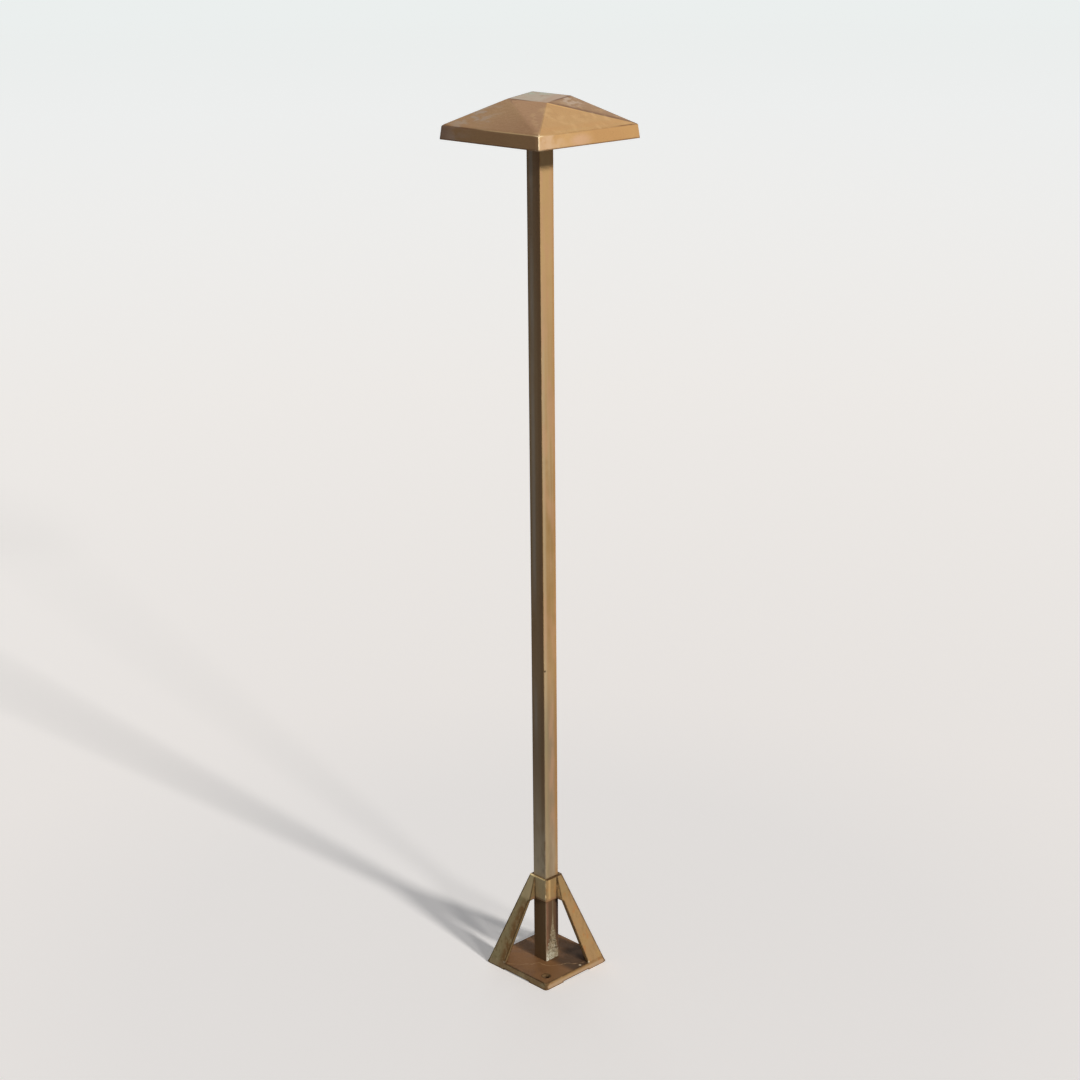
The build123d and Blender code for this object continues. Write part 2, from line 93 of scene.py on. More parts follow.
# %% [markdown]
# ## The camera
#
# The viewer stands about two metres away and looks a little down at the light, with the front
# corner of the base towards them. A long lens keeps the post nearly parallel. The camera is
# built from the three directions it needs: forwards, right and up. That is clearer than three
# turns whose order has to be remembered.

# %% Place the camera
TURN = math.radians(45.612)       # the camera stands off the front corner
DISTANCE, EYE_HEIGHT = 2.09496, 1.15518
PITCH, PAN, ROLL = math.radians(17.654), math.radians(-0.087), math.radians(-0.5)
LENS, SENSOR = 70.79, 36.0        # millimetres, for a square picture

about_post = Matrix.Rotation(TURN, 3, "Z")
forwards = Vector((math.sin(PAN) * math.cos(PITCH), math.cos(PAN) * math.cos(PITCH), -math.sin(PITCH)))
level_right = Vector((math.cos(PAN), -math.sin(PAN), 0))
level_up = level_right.cross(forwards)
right = level_right * math.cos(ROLL) + level_up * math.sin(ROLL)
up = level_up * math.cos(ROLL) - level_right * math.sin(ROLL)
axes = [about_post @ v for v in (right, up, -forwards)]

lens = bpy.data.cameras.new("camera")
lens.lens, lens.sensor_width, lens.sensor_fit = LENS, SENSOR, "HORIZONTAL"
lens.clip_start, lens.clip_end = 0.05, 200
camera = bpy.data.objects.new("camera", lens)
stand = Matrix.Translation(about_post @ Vector((0, -DISTANCE, EYE_HEIGHT)))
camera.matrix_world = stand @ Matrix(axes).transposed().to_4x4()
bpy.context.scene.collection.objects.link(camera)
bpy.context.scene.camera = camera
print("camera at", [round(v, 3) for v in camera.matrix_world.translation])


# %% [markdown]
# ## Words for nodes
#
# Materials and Geometry Nodes are both trees of nodes, so one small class serves both. It adds a
# node, sets what it is told to, and plugs in either a plain number or another node's output.
# With it a finish reads as a list of layers, the way a painter would name them.

# %% A builder for node trees
class Nodes:
    """A node tree under construction."""

    def __init__(self, tree):
        self.tree = tree

    def node(self, kind, wires=None, **settings):
        made = self.tree.nodes.new(kind)
        for key, value in settings.items():
            setattr(made, key, value)
        for socket, value in (wires or {}).items():
            self.wire(value, made.inputs[socket])
        return made

    def wire(self, value, socket):
        if isinstance(value, bpy.types.NodeSocket):
            self.tree.links.new(value, socket)
        else:
            socket.default_value = value

    def math(self, operation, first, second=0.0):
        wires = {0: first, 1: second}
        return self.node("ShaderNodeMath", wires, operation=operation).outputs[0]

    def times(self, first, second):
        return self.math("MULTIPLY", first, second)

    def over(self, first, second):
        return self.math("DIVIDE", first, second)

    def plus(self, first, second):
        return self.math("ADD", first, second)

    def minus(self, first, second):
        return self.math("SUBTRACT", first, second)

    def vector(self, operation, *inputs):
        made = self.node("ShaderNodeVectorMath", dict(enumerate(inputs)), operation=operation)
        return made.outputs["Value" if operation in ("DOT_PRODUCT", "LENGTH") else "Vector"]

    def dot(self, first, second):
        return self.vector("DOT_PRODUCT", first, second)

    def ramp(self, value, low=0.0, high=1.0, start=0.0, end=1.0, smooth=True):
        """Goes from start to end while the value goes from low to high."""
        wires = {"Value": value, "From Min": low, "From Max": high, "To Min": start, "To Max": end}
        kind = "SMOOTHSTEP" if smooth else "LINEAR"
        return self.node("ShaderNodeMapRange", wires, interpolation_type=kind).outputs[0]


def shade(red, green, blue):
    """A colour as it looks on a screen, 0 to 255, as the linear numbers that shaders use."""
    def linear(value):
        value /= 255
        return value / 12.92 if value <= 0.04045 else ((value + 0.055) / 1.055) ** 2.4
    return (linear(red), linear(green), linear(blue), 1.0)


def darker(colour, share):
    """The linear numbers of a colour that sends back only a share of the light."""
    return tuple(share * v for v in shade(*colour)[:3]) + (1.0,)


print("a middle grey as shaders see it:", round(shade(128, 128, 128)[0], 3))

# %% [markdown]
# ## The studio
#
# The light stands on a plain pale floor that runs on until it can't be told from the air. A
# low sun from the right models the faces, with a weaker one beside it that widens its shadow.
# The air fills the shadows and a weak lamp behind keeps the far side readable. The floor and
# the air look pale through the camera and in reflections only. For all other rays they are
# dimmer, so the brass shows at the level at which its colours are written.

# %% The air and the lamps
AIR = shade(235, 239, 238)
FILL_COLOUR, FILL_STRENGTH = (0.9, 0.95, 1.0, 1.0), 0.1
air = bpy.data.worlds.new("air")
air.use_nodes = True
sky = Nodes(air.node_tree)
air.node_tree.nodes.clear()


def seen_ray(tree):
    """1 for rays that the eye follows: straight, mirrored or through glass."""
    path = tree.node("ShaderNodeLightPath").outputs
    mirrored = tree.math("MAXIMUM", path["Is Camera Ray"], path["Is Glossy Ray"])
    return tree.math("MAXIMUM", mirrored, path["Is Transmission Ray"])


fill = sky.node("ShaderNodeBackground", {"Color": FILL_COLOUR, "Strength": FILL_STRENGTH})
shown = sky.node("ShaderNodeBackground", {"Color": AIR, "Strength": 1.0})
air_mix = sky.node("ShaderNodeMixShader", {0: seen_ray(sky), 1: fill.outputs[0], 2: shown.outputs[0]})
sky.node("ShaderNodeOutputWorld", {"Surface": air_mix.outputs[0]})
bpy.context.scene.world = air
bpy.context.scene.view_settings.view_transform = "Standard"


def lamp(name, azimuth, elevation, energy, softness, colour):
    """A distant lamp. Azimuth is counted from +X towards +Y; softness is its width in degrees."""
    data = bpy.data.lights.new(name, "SUN")
    data.energy, data.angle, data.color = energy, math.radians(softness), colour
    made = bpy.data.objects.new(name, data)
    a, e = math.radians(azimuth), math.radians(elevation)
    towards = Vector((math.cos(a) * math.cos(e), math.sin(a) * math.cos(e), math.sin(e)))
    made.rotation_euler = towards.to_track_quat("Z", "Y").to_euler()
    bpy.context.scene.collection.objects.link(made)


SUNLIGHT = (1.0, 0.965, 0.91)
lamp("key", -1, 25, 2.3, 6, SUNLIGHT)
lamp("second_key", -13, 25, 0.6, 6, SUNLIGHT)
lamp("rear", 140, 18, 0.45, 50, (0.93, 0.97, 1.0))

# %% [markdown]
# The floor gets a little paler with distance, in the tones below, until it is the colour
# of the air. Near the light it is mostly lit, so it holds the shadow. Far away it mostly glows,
# so it stays even. Seen from below it is clear.

# %% The floor
FLOOR_REACH, FLOOR_SIDES = 60.0, 96
SHADOW_START, SHADOW_END = 1.5, 14.0    # metres from the post between which lit turns to glowing
NEAR_GLOW = 0.28                        # the part of the near floor's light that is its own
FAR = 16.0                              # where the floor has the colour of the air
FLOOR_TONES = {0.0: shade(218, 214, 211), 0.45: shade(220, 216, 213), 0.8: shade(226, 221, 217),
               2.7: shade(232, 228, 224), 8.6: shade(235, 236, 235), FAR: AIR}
FLOOR_LIGHT = (0.49, 0.478, 0.46)       # what the lamps give a level surface, in red, green and blue
FLOOR_BOUNCE = (0.28, 0.27, 0.26, 1.0)  # how pale the floor is for rays that light the object

floor_finish = bpy.data.materials.new("floor")
floor_finish.use_nodes = True
floor_finish.node_tree.nodes.clear()
ground = Nodes(floor_finish.node_tree)
place = ground.node("ShaderNodeTexCoord").outputs["Object"]
away = ground.vector("LENGTH", place)
step = ground.math("LOGARITHM", ground.plus(away, 1.0), FAR + 1)
tones = ground.node("ShaderNodeValToRGB", {0: step})
for distance, tone in FLOOR_TONES.items():
    if distance in (0.0, FAR):
        stop = tones.color_ramp.elements[0 if distance == 0.0 else -1]
    else:
        stop = tones.color_ramp.elements.new(math.log(1 + distance, FAR + 1))
    stop.color = tone
far = ground.ramp(away, SHADOW_START, SHADOW_END)
glow_share = ground.ramp(far, start=NEAR_GLOW, smooth=False)
seen = seen_ray(ground)
own_light = ground.times(seen, glow_share)
glow = ground.node("ShaderNodeEmission", {"Color": tones.outputs[0], "Strength": own_light})
lit_tone = ground.vector("DIVIDE", tones.outputs[0], FLOOR_LIGHT)
lit_share = ground.minus(1.0, glow_share)
scaling = ground.node("ShaderNodeVectorMath", {0: lit_tone, "Scale": lit_share}, operation="SCALE")
albedo = ground.node("ShaderNodeMix", {0: seen, 6: FLOOR_BOUNCE, 7: scaling.outputs[0]}, data_type="RGBA")
matt = ground.node("ShaderNodeBsdfDiffuse", {"Color": albedo.outputs[2]})
lit = ground.node("ShaderNodeAddShader", {0: glow.outputs[0], 1: matt.outputs[0]})
clear = ground.node("ShaderNodeBsdfTransparent")
below = ground.node("ShaderNodeNewGeometry").outputs["Backfacing"]
surface = ground.node("ShaderNodeMixShader", {0: below, 1: lit.outputs[0], 2: clear.outputs[0]})
ground.node("ShaderNodeOutputMaterial", {"Surface": surface.outputs[0]})

floor_mesh = bpy.data.meshes.new("floor")
rim = [(FLOOR_REACH * math.cos(a), FLOOR_REACH * math.sin(a), 0)
       for a in (math.tau * i / FLOOR_SIDES for i in range(FLOOR_SIDES))]
floor_mesh.from_pydata(rim, [], [range(FLOOR_SIDES)])
floor_mesh.materials.append(floor_finish)
floor = bpy.data.objects.new("floor", floor_mesh)
bpy.context.scene.collection.objects.link(floor)
print("floor reaches", FLOOR_REACH, "m in", len(FLOOR_TONES), "tones")


# %% [markdown]
# ## How a finish is made
#
# Old brass is a stack of thin layers: bare metal, brown patina, handling wear on the edges,
# darker corners, lime and verdigris where water stands. A finish here is made the same
# way. It starts with one colour, and each call of `lay` puts a layer over it through a mask.
# The masks come from the piece itself: cloudy noise in its own coordinates, the distance to
# an edge, how deep a spot lies, which way it faces, or where it is. Their sizes and places are
# written in millimetres. Some layers are painted light and shade, and are named so where they lie.

# %% Layers and masks
class Finish(Nodes):
    """A material made of layers, each laid through a mask."""

    def __init__(self, name, colour, rough, metal=0.0, specular=0.3):
        self.material = bpy.data.materials.new(name)
        self.material.use_nodes = True
        super().__init__(self.material.node_tree)
        self.shader = self.tree.nodes["Principled BSDF"]
        self.shader.inputs["Specular IOR Level"].default_value = specular
        self.place = self.node("ShaderNodeTexCoord").outputs["Object"]
        self.colour, self.rough, self.metal, self.relief = shade(*colour), rough, metal, 0.0

    def lay(self, mask, colour=None, rough=None, metal=None, relief=None):
        """Lays colour, roughness, metal or height through a mask from 0 to 1, or several multiplied.

        A colour is three screen numbers, or four linear ones as `darker` gives them.
        """
        if isinstance(mask, tuple):
            mask = self.both(*mask)
        if colour is not None:
            wires = {0: mask, 6: self.colour, 7: shade(*colour) if len(colour) == 3 else colour}
            self.colour = self.node("ShaderNodeMix", wires, data_type="RGBA").outputs[2]
        if rough is not None:
            self.rough = self.node("ShaderNodeMix", {0: mask, 2: self.rough, 3: rough}).outputs[0]
        if metal is not None:
            self.metal = self.node("ShaderNodeMix", {0: mask, 2: self.metal, 3: metal}).outputs[0]
        if relief is not None:
            self.relief = self.plus(self.relief, self.times(mask, relief * MM))

    def close(self, soft_edge=0.0):
        """Plugs the stack into the shader. A soft edge rounds corners that the mesh leaves sharp."""
        self.wire(self.colour, self.shader.inputs["Base Color"])
        self.wire(self.rough, self.shader.inputs["Roughness"])
        self.wire(self.metal, self.shader.inputs["Metallic"])
        wires = {"Height": self.relief, "Distance": 1.0, "Strength": 1.0}
        if soft_edge:
            wires["Normal"] = self.node("ShaderNodeBevel", {"Radius": soft_edge * MM}, samples=4).outputs[0]
        self.wire(self.node("ShaderNodeBump", wires).outputs[0], self.shader.inputs["Normal"])
        print(self.material.name, "has", len(self.tree.nodes), "nodes")
        return self.material

    def cloud(self, size, low=0.35, high=0.65, stretch=(1, 1, 1), shift=0.0, detail=3.0):
        """Soft patches about this size. A higher low leaves fewer of them."""
        scale = [1 / (size * MM * s) for s in stretch]
        at = self.node("ShaderNodeMapping", {"Vector": self.place, "Location": (shift,) * 3, "Scale": scale})
        wires = {"Vector": at.outputs[0], "Scale": 1.0, "Detail": detail}
        return self.ramp(self.node("ShaderNodeTexNoise", wires).outputs["Fac"], low, high)

    def both(self, *masks):
        joined = masks[0]
        for mask in masks[1:]:
            joined = self.times(joined, mask)
        return joined

    def edges(self, radius, low=0.02, high=0.2):
        """The rounded-off part of every edge within this radius."""
        soft = self.node("ShaderNodeBevel", {"Radius": radius * MM}, samples=4).outputs[0]
        normal = self.node("ShaderNodeNewGeometry").outputs["Normal"]
        return self.ramp(self.minus(1.0, self.dot(soft, normal)), low, high)

    def cast_edges(self):
        """The rounded strips that casting leaves along every edge, written on the mesh."""
        return self.node("ShaderNodeAttribute", attribute_name="edge").outputs["Fac"]

    def by_edge(self, solid, gone):
        """Near an edge of a casting: full within the first distance, gone at the second."""
        away = self.node("ShaderNodeAttribute", attribute_name="edge_distance").outputs["Fac"]
        return self.ramp(away, gone * MM, solid * MM)

    def corners(self, reach, low=0.25, high=0.75):
        """Inside corners and crevices: the more enclosed a point, the higher."""
        open_air = self.node("ShaderNodeAmbientOcclusion", {"Distance": reach * MM}, samples=4,
                             only_local=False)
        return self.ramp(self.minus(1.0, open_air.outputs["AO"]), low, high)

    def facing(self, direction, low, high):
        """Faces that look in a direction: gone at the first cosine, full at the second."""
        normal = self.node("ShaderNodeNewGeometry").outputs["Normal"]
        return self.ramp(self.dot(normal, Vector(direction).normalized()), low, high)

    def left(self, low, high):
        """The faces on the left in the picture, which look along -Y."""
        return self.facing((0, -1, 0), low, high)

    def right(self, low, high):
        """The faces on the right in the picture, which look along +X."""
        return self.facing((1, 0, 0), low, high)

    def near(self, point, inner, outer, stretch=(1, 1, 1)):
        """A soft blob round a point."""
        off = self.vector("SUBTRACT", self.place, [v * MM for v in point])
        away = self.vector("LENGTH", self.vector("MULTIPLY", off, [1 / s for s in stretch]))
        return self.ramp(away, outer * MM, inner * MM)

    def across(self, direction, low, high):
        """0 to 1 between two distances along a direction, from the origin."""
        return self.ramp(self.dot(self.place, direction), low * MM, high * MM)

    def along(self, axis, low, high):
        """The same along X, Y or Z."""
        return self.across([float(axis == each) for each in "XYZ"], low, high)

    def x(self, low, high):
        return self.along("X", low, high)

    def y(self, low, high):
        return self.along("Y", low, high)

    def z(self, low, high):
        return self.along("Z", low, high)

    def within(self, axis, low, high, soft):
        """1 between two places along an axis, with soft ends."""
        return self.both(self.along(axis, low - soft, low + soft), self.along(axis, high + soft, high - soft))

    def less(self, mask):
        return self.minus(1.0, mask)


# %% [markdown]
# ## Aged brass
#
# The three large pieces share one skin: a brown-gold patina with broad cloudy changes, a fine
# grain, thin streaks where rain runs down, small pits, brighter bare metal on the edges, and
# darker corners. Patina isn't a bare metal, so its metallic value is low and its gloss
# is dull; only the rubbed edges shine. The function makes that skin, and the cap, the post and
# the base each lay their own stains, and some painted light and shade, over it.

# %% The skin that all the brass shares
def brass_skin(name, ground, warm, deep, bare, patch, run, cast=True, metal=0.08, specular=0.16,
               streaks=0.4, edge_dirt=0.75, rubbed=1.0):
    """Patches and runs have their size and length given; edges come from casting or from the shape."""
    skin = Finish(name, ground, 0.52, metal, specular)
    skin.lay((0.8, skin.cloud(patch, 0.35, 0.68, shift=3.1)), warm, rough=0.44)
    skin.lay((0.75 * streaks, skin.cloud(patch * 0.45, 0.48, 0.75, shift=7.7)), deep, rough=0.56)
    runs = skin.cloud(2.2, 0.46, 0.8, stretch=(1, 1, run), shift=1.9, detail=4.0)
    skin.lay((streaks, runs, skin.cloud(20, shift=5.3)), deep, rough=0.58)
    skin.lay((0.14, skin.cloud(0.8, 0.4, 0.7, shift=2.2)), deep)
    skin.lay(skin.cloud(0.8, 0.3, 0.8, shift=2.2), relief=0.03)
    skin.lay(skin.cloud(3.5, 0.3, 0.8, shift=4.4), relief=0.1)
    pits = skin.cloud(0.9, 0.74, 0.79, shift=9.1, detail=1.0)
    skin.lay((0.8, pits), deep, rough=0.72, relief=-0.08)
    edge = skin.cast_edges() if cast else skin.edges(1.2, 0.006, 0.06)
    skin.lay((edge_dirt, edge), darker(deep, 0.75), rough=0.55)
    skin.lay((rubbed, edge, skin.cloud(7, 0.52, 0.66, shift=6.0)), bare, rough=0.36, metal=0.5)
    return skin


# %% [markdown]
# On the cap, rain has left its marks by slope. The large facet of each side stays warm, the thin
# one above it turns pinkish grey, and the plateau carries pale lime. Each zone comes from the
# cap's own rule. Seen from above, a thin facet lies between three lines: the fold, the ridge to
# the next side, and the edge of the plateau. Three soft limits across those lines pick it out.

# %% The zones of the roof
skin = brass_skin("cap_brass", (204, 160, 108), (212, 170, 114), (146, 106, 68), (240, 210, 160), patch=40,
                  run=2.0, streaks=0.12, edge_dirt=0.3, rubbed=0.1)
FOLD = ((0.8978, -0.4404), 31.1)                 # a direction across each line, and how far out it lies
RIDGE = ((0.628, -0.778), -10.2)
TOP_EDGE = ((0.9744, 0.225), 22.1)
NECK_LOW, NECK_HIGH = 912.8, 913.6               # the skirt ends and the roof begins between these
TO_CORNER = (0.7071, -0.7071, 0)                 # towards the front corner


def limit(line, quarters, low, high):
    """0 to 1 between two distances from one of the roof's lines, for the side after so many quarter turns."""
    (x, y), reach = line
    for _ in range(quarters):
        x, y = -y, x
    return skin.across((x, y, 0), reach + low, reach + high)


def thin_facet(quarters, soft=0.3):
    """The thin facet of one side. Side 0 looks along +X."""
    return skin.both(limit(FOLD, quarters, soft, -soft), limit(RIDGE, quarters, -soft, soft),
                     limit(TOP_EDGE, quarters, -soft, soft))


THIN_TONES = ((158, 123, 92), (180, 146, 112), (180, 146, 112), (191, 146, 107))
on_roof = skin.z(NECK_LOW, NECK_HIGH)
on_left = skin.facing((0, -1, 0.4), 0.6, 0.8)
skin.lay((0.6, on_left), (192, 148, 110), rough=0.5)
for side, tone in enumerate(THIN_TONES):
    skin.lay((0.85, on_roof, thin_facet(side)), tone, rough=0.5)
# Painted shade: a dark band along the fold, on the thin facet of the sunny side.
painted_fold_shade = skin.both(on_roof, thin_facet(0), limit(FOLD, 0, -6, -1.5))
skin.lay((0.9, painted_fold_shade), (130, 90, 56), rough=0.45)
# Painted highlight: a bright gold line along the top of the fold on the sunny side.
painted_fold_highlight = skin.both(on_roof, skin.facing((1, 0, 0.9), 0.9, 0.97), limit(FOLD, 0, -0.2, 0.4),
                      limit(FOLD, 0, 2.4, 1), skin.near((26.5, -16.6, 938), 15, 50))
skin.lay((0.7, painted_fold_highlight), (236, 190, 122), rough=0.4)
specks = skin.both(on_roof, thin_facet(0), skin.cloud(4.5, 0.4, 0.6, stretch=(1, 1.6, 1), shift=31.0),
                   skin.near((22, 18, 938), 6, 22))
skin.lay((0.7, specks), (210, 190, 172), rough=0.7)

# %% [markdown]
# The plateau is nearly level, so rain stands on it. It dries to pale lime on one side and leaves
# a green bloom towards the front corner. Both are clouds cut off by the plateau's own edges.

# %% The plateau
on_plateau = skin.both(*(limit(TOP_EDGE, each, 0.3, -0.3) for each in range(4)), skin.z(925, 930))
skin.lay(on_plateau, (190, 154, 122), rough=0.5)
lime = skin.both(on_plateau, skin.across((0.7, 0.3, 0), 10, 4), skin.cloud(9, 0.2, 0.55, shift=17.0))
skin.lay(lime, (206, 188, 166), rough=0.65)
green = skin.both(on_plateau, skin.across((0.7, -0.7, 0), -6, -18), skin.cloud(5, 0.3, 0.6, shift=19.0))
skin.lay((0.8, green), (200, 208, 190), rough=0.75, relief=0.03)

# %% [markdown]
# Thin dark lines run where two facets meet. These lines go by the distance to the nearest edge, which
# is stored on the mesh, so they stay thin and follow every fold without being drawn.

# %% Dark lines along the folds
behind_crease = skin.across(TO_CORNER, 26, 14)
ridge_line = skin.both(on_roof, behind_crease, skin.by_edge(0.7, 1.8), skin.less(on_left))
skin.lay((0.75, ridge_line), (116, 78, 54), rough=0.6)
neck_line = skin.both(on_left, skin.within("Z", 912.2, 915, 0.5), skin.by_edge(0.4, 1.4))
skin.lay((0.6, neck_line), (110, 68, 44), rough=0.6)

# %% [markdown]
# The other marks of weather and hands each have a place and a ragged rim. So each is a mask of
# where it lies, multiplied by a cloud, and the later ones lie over the earlier ones. A few are
# painted light: highlights on the front corner and the neck, and shade on the skirt's left side.

# %% Stains on the cap
on_main = skin.both(on_roof, skin.less(on_plateau))
by_crease = skin.both(on_main, on_left, skin.across(TO_CORNER, 20, 80))
skin.lay((0.55, by_crease), (170, 122, 84), rough=0.5)
smudges = skin.both(on_main, on_left, skin.cloud(5.5, 0.47, 0.64, stretch=(2.4, 1.2, 1), shift=11.0),
                    skin.near((-38, -50, 919), 8, 42))
skin.lay((0.6, smudges), (208, 190, 172), rough=0.72)
blooms = skin.both(on_main, skin.x(24, 34), skin.cloud(11, 0.5, 0.7, shift=14.0))
skin.lay((0.3, blooms), (228, 190, 140), rough=0.55)
low_gold = skin.both(on_main, skin.facing((1, 0, 0.8), 0.9, 0.97), skin.within("X", 58.5, 64, 2))
skin.lay((0.5, low_gold), (206, 148, 86), rough=0.45)
on_skirt = skin.z(NECK_HIGH, NECK_LOW)
outer_skirt = skin.both(on_skirt, skin.facing((0, 0, 1), 0.45, 0.3), skin.facing((0, 0, -1), 0.6, 0.4))
grey_left = skin.both(outer_skirt, skin.left(0.7, 0.9), skin.x(-15, -55),
                      skin.cloud(12, 0.3, 0.6, stretch=(1.5, 1, 0.7), shift=21.0))
skin.lay((0.75, grey_left), (212, 188, 176), rough=0.7)
dusk_left = skin.both(outer_skirt, skin.left(0.7, 0.9), skin.x(-50, -64))
skin.lay((0.6, dusk_left), (150, 122, 118), rough=0.65)
pale_front = skin.both(outer_skirt, skin.right(0.7, 0.9), skin.y(-20, -55),
                       skin.cloud(10, 0.3, 0.6, shift=23.0))
skin.lay((0.6, pale_front), (222, 190, 158), rough=0.65)
blush = skin.near((69, -12, 905), 3, 11, stretch=(1, 1.8, 0.8))
skin.lay((0.5, outer_skirt, blush), (226, 186, 160), rough=0.6)
# Painted highlight: a pale gold glint on the skirt's front corner.
painted_corner_highlight = skin.both(skin.near((69, -69, 906), 7, 12), skin.cast_edges())
skin.lay((0.9, painted_corner_highlight), (255, 232, 190), rough=0.35, metal=0.3)
# Painted highlight: a pale gold line along the neck at the front of the left side.
painted_neck_highlight = skin.both(skin.near((30, -68, 913.4), 12, 40, stretch=(1.6, 1, 0.05)), skin.cast_edges())
skin.lay((0.6, painted_neck_highlight), (240, 204, 150), rough=0.4, metal=0.3)
sunny_skirt = skin.both(outer_skirt, skin.right(0.7, 0.9), skin.y(-35, 10))
skin.lay((0.3, sunny_skirt), (184, 136, 84), rough=0.5)
# Painted shade: the skirt's left side, which faces away from the sun, is laid darker.
shaded_skirt = skin.both(outer_skirt, skin.left(0.7, 0.9))
skin.lay((0.5, shaded_skirt), (150, 116, 82), rough=0.55)
foot_line = skin.both(outer_skirt, skin.z(901.2, 900.4))
skin.lay((0.7, foot_line), (110, 78, 48), rough=0.6)
under = skin.facing((0, 0, -1), 0.1, 0.5)
skin.lay((0.7, under), (150, 112, 76), rough=0.62)
skin.lay(skin.corners(6), (96, 70, 48), rough=0.8)
cap_brass = skin.close()

# %% [markdown]
# The post was drawn through a die, so its marks all run lengthwise. It is golden under the cap,
# browner in the middle and greyer where the ground splashes it. Its shaded left face is greyer and
# is laid darker as painted shade, with a pale band of painted reflection, and its sunny face has a
# painted highlight beside the front crease. Below the collar, damp has crept up the sunny face: a
# thin streak of verdigris widens downwards into a pale crust.

# %% The post's finish
skin = brass_skin("post_brass", (178, 146, 104), (186, 154, 108), (138, 106, 70), (220, 188, 140), patch=50,
                  run=60.0, cast=False)
skin.lay((0.5, skin.cloud(4, 0.42, 0.7, stretch=(1, 1, 45), shift=12.0)), (164, 128, 84), rough=0.56)
skin.lay((0.45, skin.cloud(4.5, 0.5, 0.75, stretch=(1, 1, 50), shift=15.0)), (188, 166, 132), rough=0.6)
golden = skin.z(600, 840)
skin.lay((0.7, golden), (198, 162, 112), rough=0.46)
browner = skin.both(skin.within("Z", 380, 560, 70), skin.cloud(30, 0.2, 0.7, stretch=(1, 1, 3)))
skin.lay((0.85, browner), (144, 110, 60))
greyer = skin.z(360, 260)
skin.lay((0.8, greyer), (138, 120, 98), rough=0.6)
front_right = skin.right(0.8, 0.95)
front_left = skin.left(0.8, 0.95)
# Painted highlight: a paler strip on the sunny face beside the front crease.
strip = skin.both(front_right, skin.y(-3.5, -7.5), skin.z(800, 660))
skin.lay((0.55, strip), (190, 170, 138), rough=0.55)
gold_edge = skin.both(front_right, skin.y(4.5, 8.5))
skin.lay((0.55, gold_edge), (178, 130, 70), rough=0.45)
# Painted shade with a greyer tone: the left face, in shade, is laid darker, most of all high up.
skin.lay((0.7, front_left), (145, 121, 94), rough=0.58)
skin.lay((0.6, front_left, skin.z(620, 850)), (122, 96, 72), rough=0.58)
skin.lay((0.6, front_left, skin.z(260, 160)), (200, 180, 150), rough=0.62)
# Painted reflection: a pale grey band on the shaded face, where the pale air shows in it.
painted_reflection_band = skin.both(front_left, skin.within("X", -6, -1, 2),
                      skin.cloud(30, 0.3, 0.6, stretch=(1, 1, 4), shift=2.0))
skin.lay((0.5, painted_reflection_band), (186, 178, 166), rough=0.62)
brown_corner = skin.both(front_left, skin.x(1, 6), skin.z(100, 120))
skin.lay((0.55, brown_corner), (128, 94, 58), rough=0.55)
tints = skin.both(front_right, skin.cloud(14, 0.45, 0.68, stretch=(1, 0.7, 3), shift=65.0))
skin.lay((0.4, tints), (194, 148, 116), rough=0.52)
low_left = skin.both(front_right, skin.y(-2, -6), skin.z(340, 260))
skin.lay((0.6, low_left), (138, 122, 88), rough=0.6)
low_right = skin.both(front_right, skin.y(3, 6.5), skin.z(360, 280))
skin.lay((0.6, low_right), (152, 112, 62), rough=0.5)
left_line = skin.both(front_left, skin.x(-7.2, -8.8))
skin.lay((0.6, left_line), (104, 86, 62), rough=0.6)
splash = skin.both(skin.z(200, 110), skin.cloud(6, 0.3, 0.6, stretch=(1, 1, 4), shift=8.0))
skin.lay((0.3, splash), (186, 168, 140), rough=0.68)
skin.lay((0.75, splash, front_left), (222, 206, 178), rough=0.68)
speck = skin.near((9.5, -8.2, 347.5), 0.6, 1.6)
skin.lay(speck, (58, 42, 30), rough=0.7, relief=-0.1)

# %% [markdown]
# The streak of verdigris is given as a rule: its half width grows downwards and wanders with a
# cloud, and a point belongs to it if it is nearer the middle of the face than that.

# %% The foot of the post
below_collar = skin.z(86, 78)
skin.lay((below_collar, front_left), (134, 108, 78), rough=0.62)
skin.lay((below_collar, front_right), (98, 74, 54), rough=0.6)
rosy = skin.both(below_collar, front_right, skin.y(-4.5, -7.5), skin.cloud(6, 0.2, 0.5, stretch=(1, 1, 2)))
skin.lay((0.7, rosy), (134, 98, 76), rough=0.55)
dark_side = skin.both(below_collar, front_right, skin.y(4, 6.8), skin.z(26, 40))
skin.lay((0.85, dark_side), (62, 42, 34), rough=0.6)
wander = skin.cloud(5.5, 0.0, 1.0, stretch=(1, 1, 2.0), shift=27.0, detail=4.0)
half_width = skin.times(skin.z(61, 4), 8.6 * MM)
half_width = skin.times(skin.plus(half_width, 0.7 * MM), skin.plus(0.4, wander))
across_face = skin.node("ShaderNodeSeparateXYZ", {0: skin.place}).outputs["Y"]
off_middle = skin.math("ABSOLUTE", skin.plus(across_face, skin.times(wander, -1.2 * MM)))
streak = skin.ramp(skin.minus(off_middle, half_width), 0.8 * MM, -0.8 * MM)
streak = skin.both(streak, below_collar, front_right)
skin.lay((0.8, streak), (118, 104, 80), rough=0.8, metal=0.0)
pale_streak = skin.both(streak, skin.z(68, 52), skin.cloud(3, 0.3, 0.6, stretch=(1, 1, 2.5), shift=67.0))
skin.lay((0.7, pale_streak), (150, 134, 108), rough=0.85, metal=0.0)
crust = skin.both(front_right, skin.z(28, 12), skin.y(9, -2),
                  skin.cloud(1.8, 0.38, 0.56, shift=29.0, detail=5.0))
skin.lay(crust, (180, 176, 154), rough=0.92, metal=0.0, relief=0.12)
white_foot = skin.both(crust, skin.z(17, 11), skin.y(4, -6))
skin.lay(white_foot, (214, 214, 198), rough=0.92)
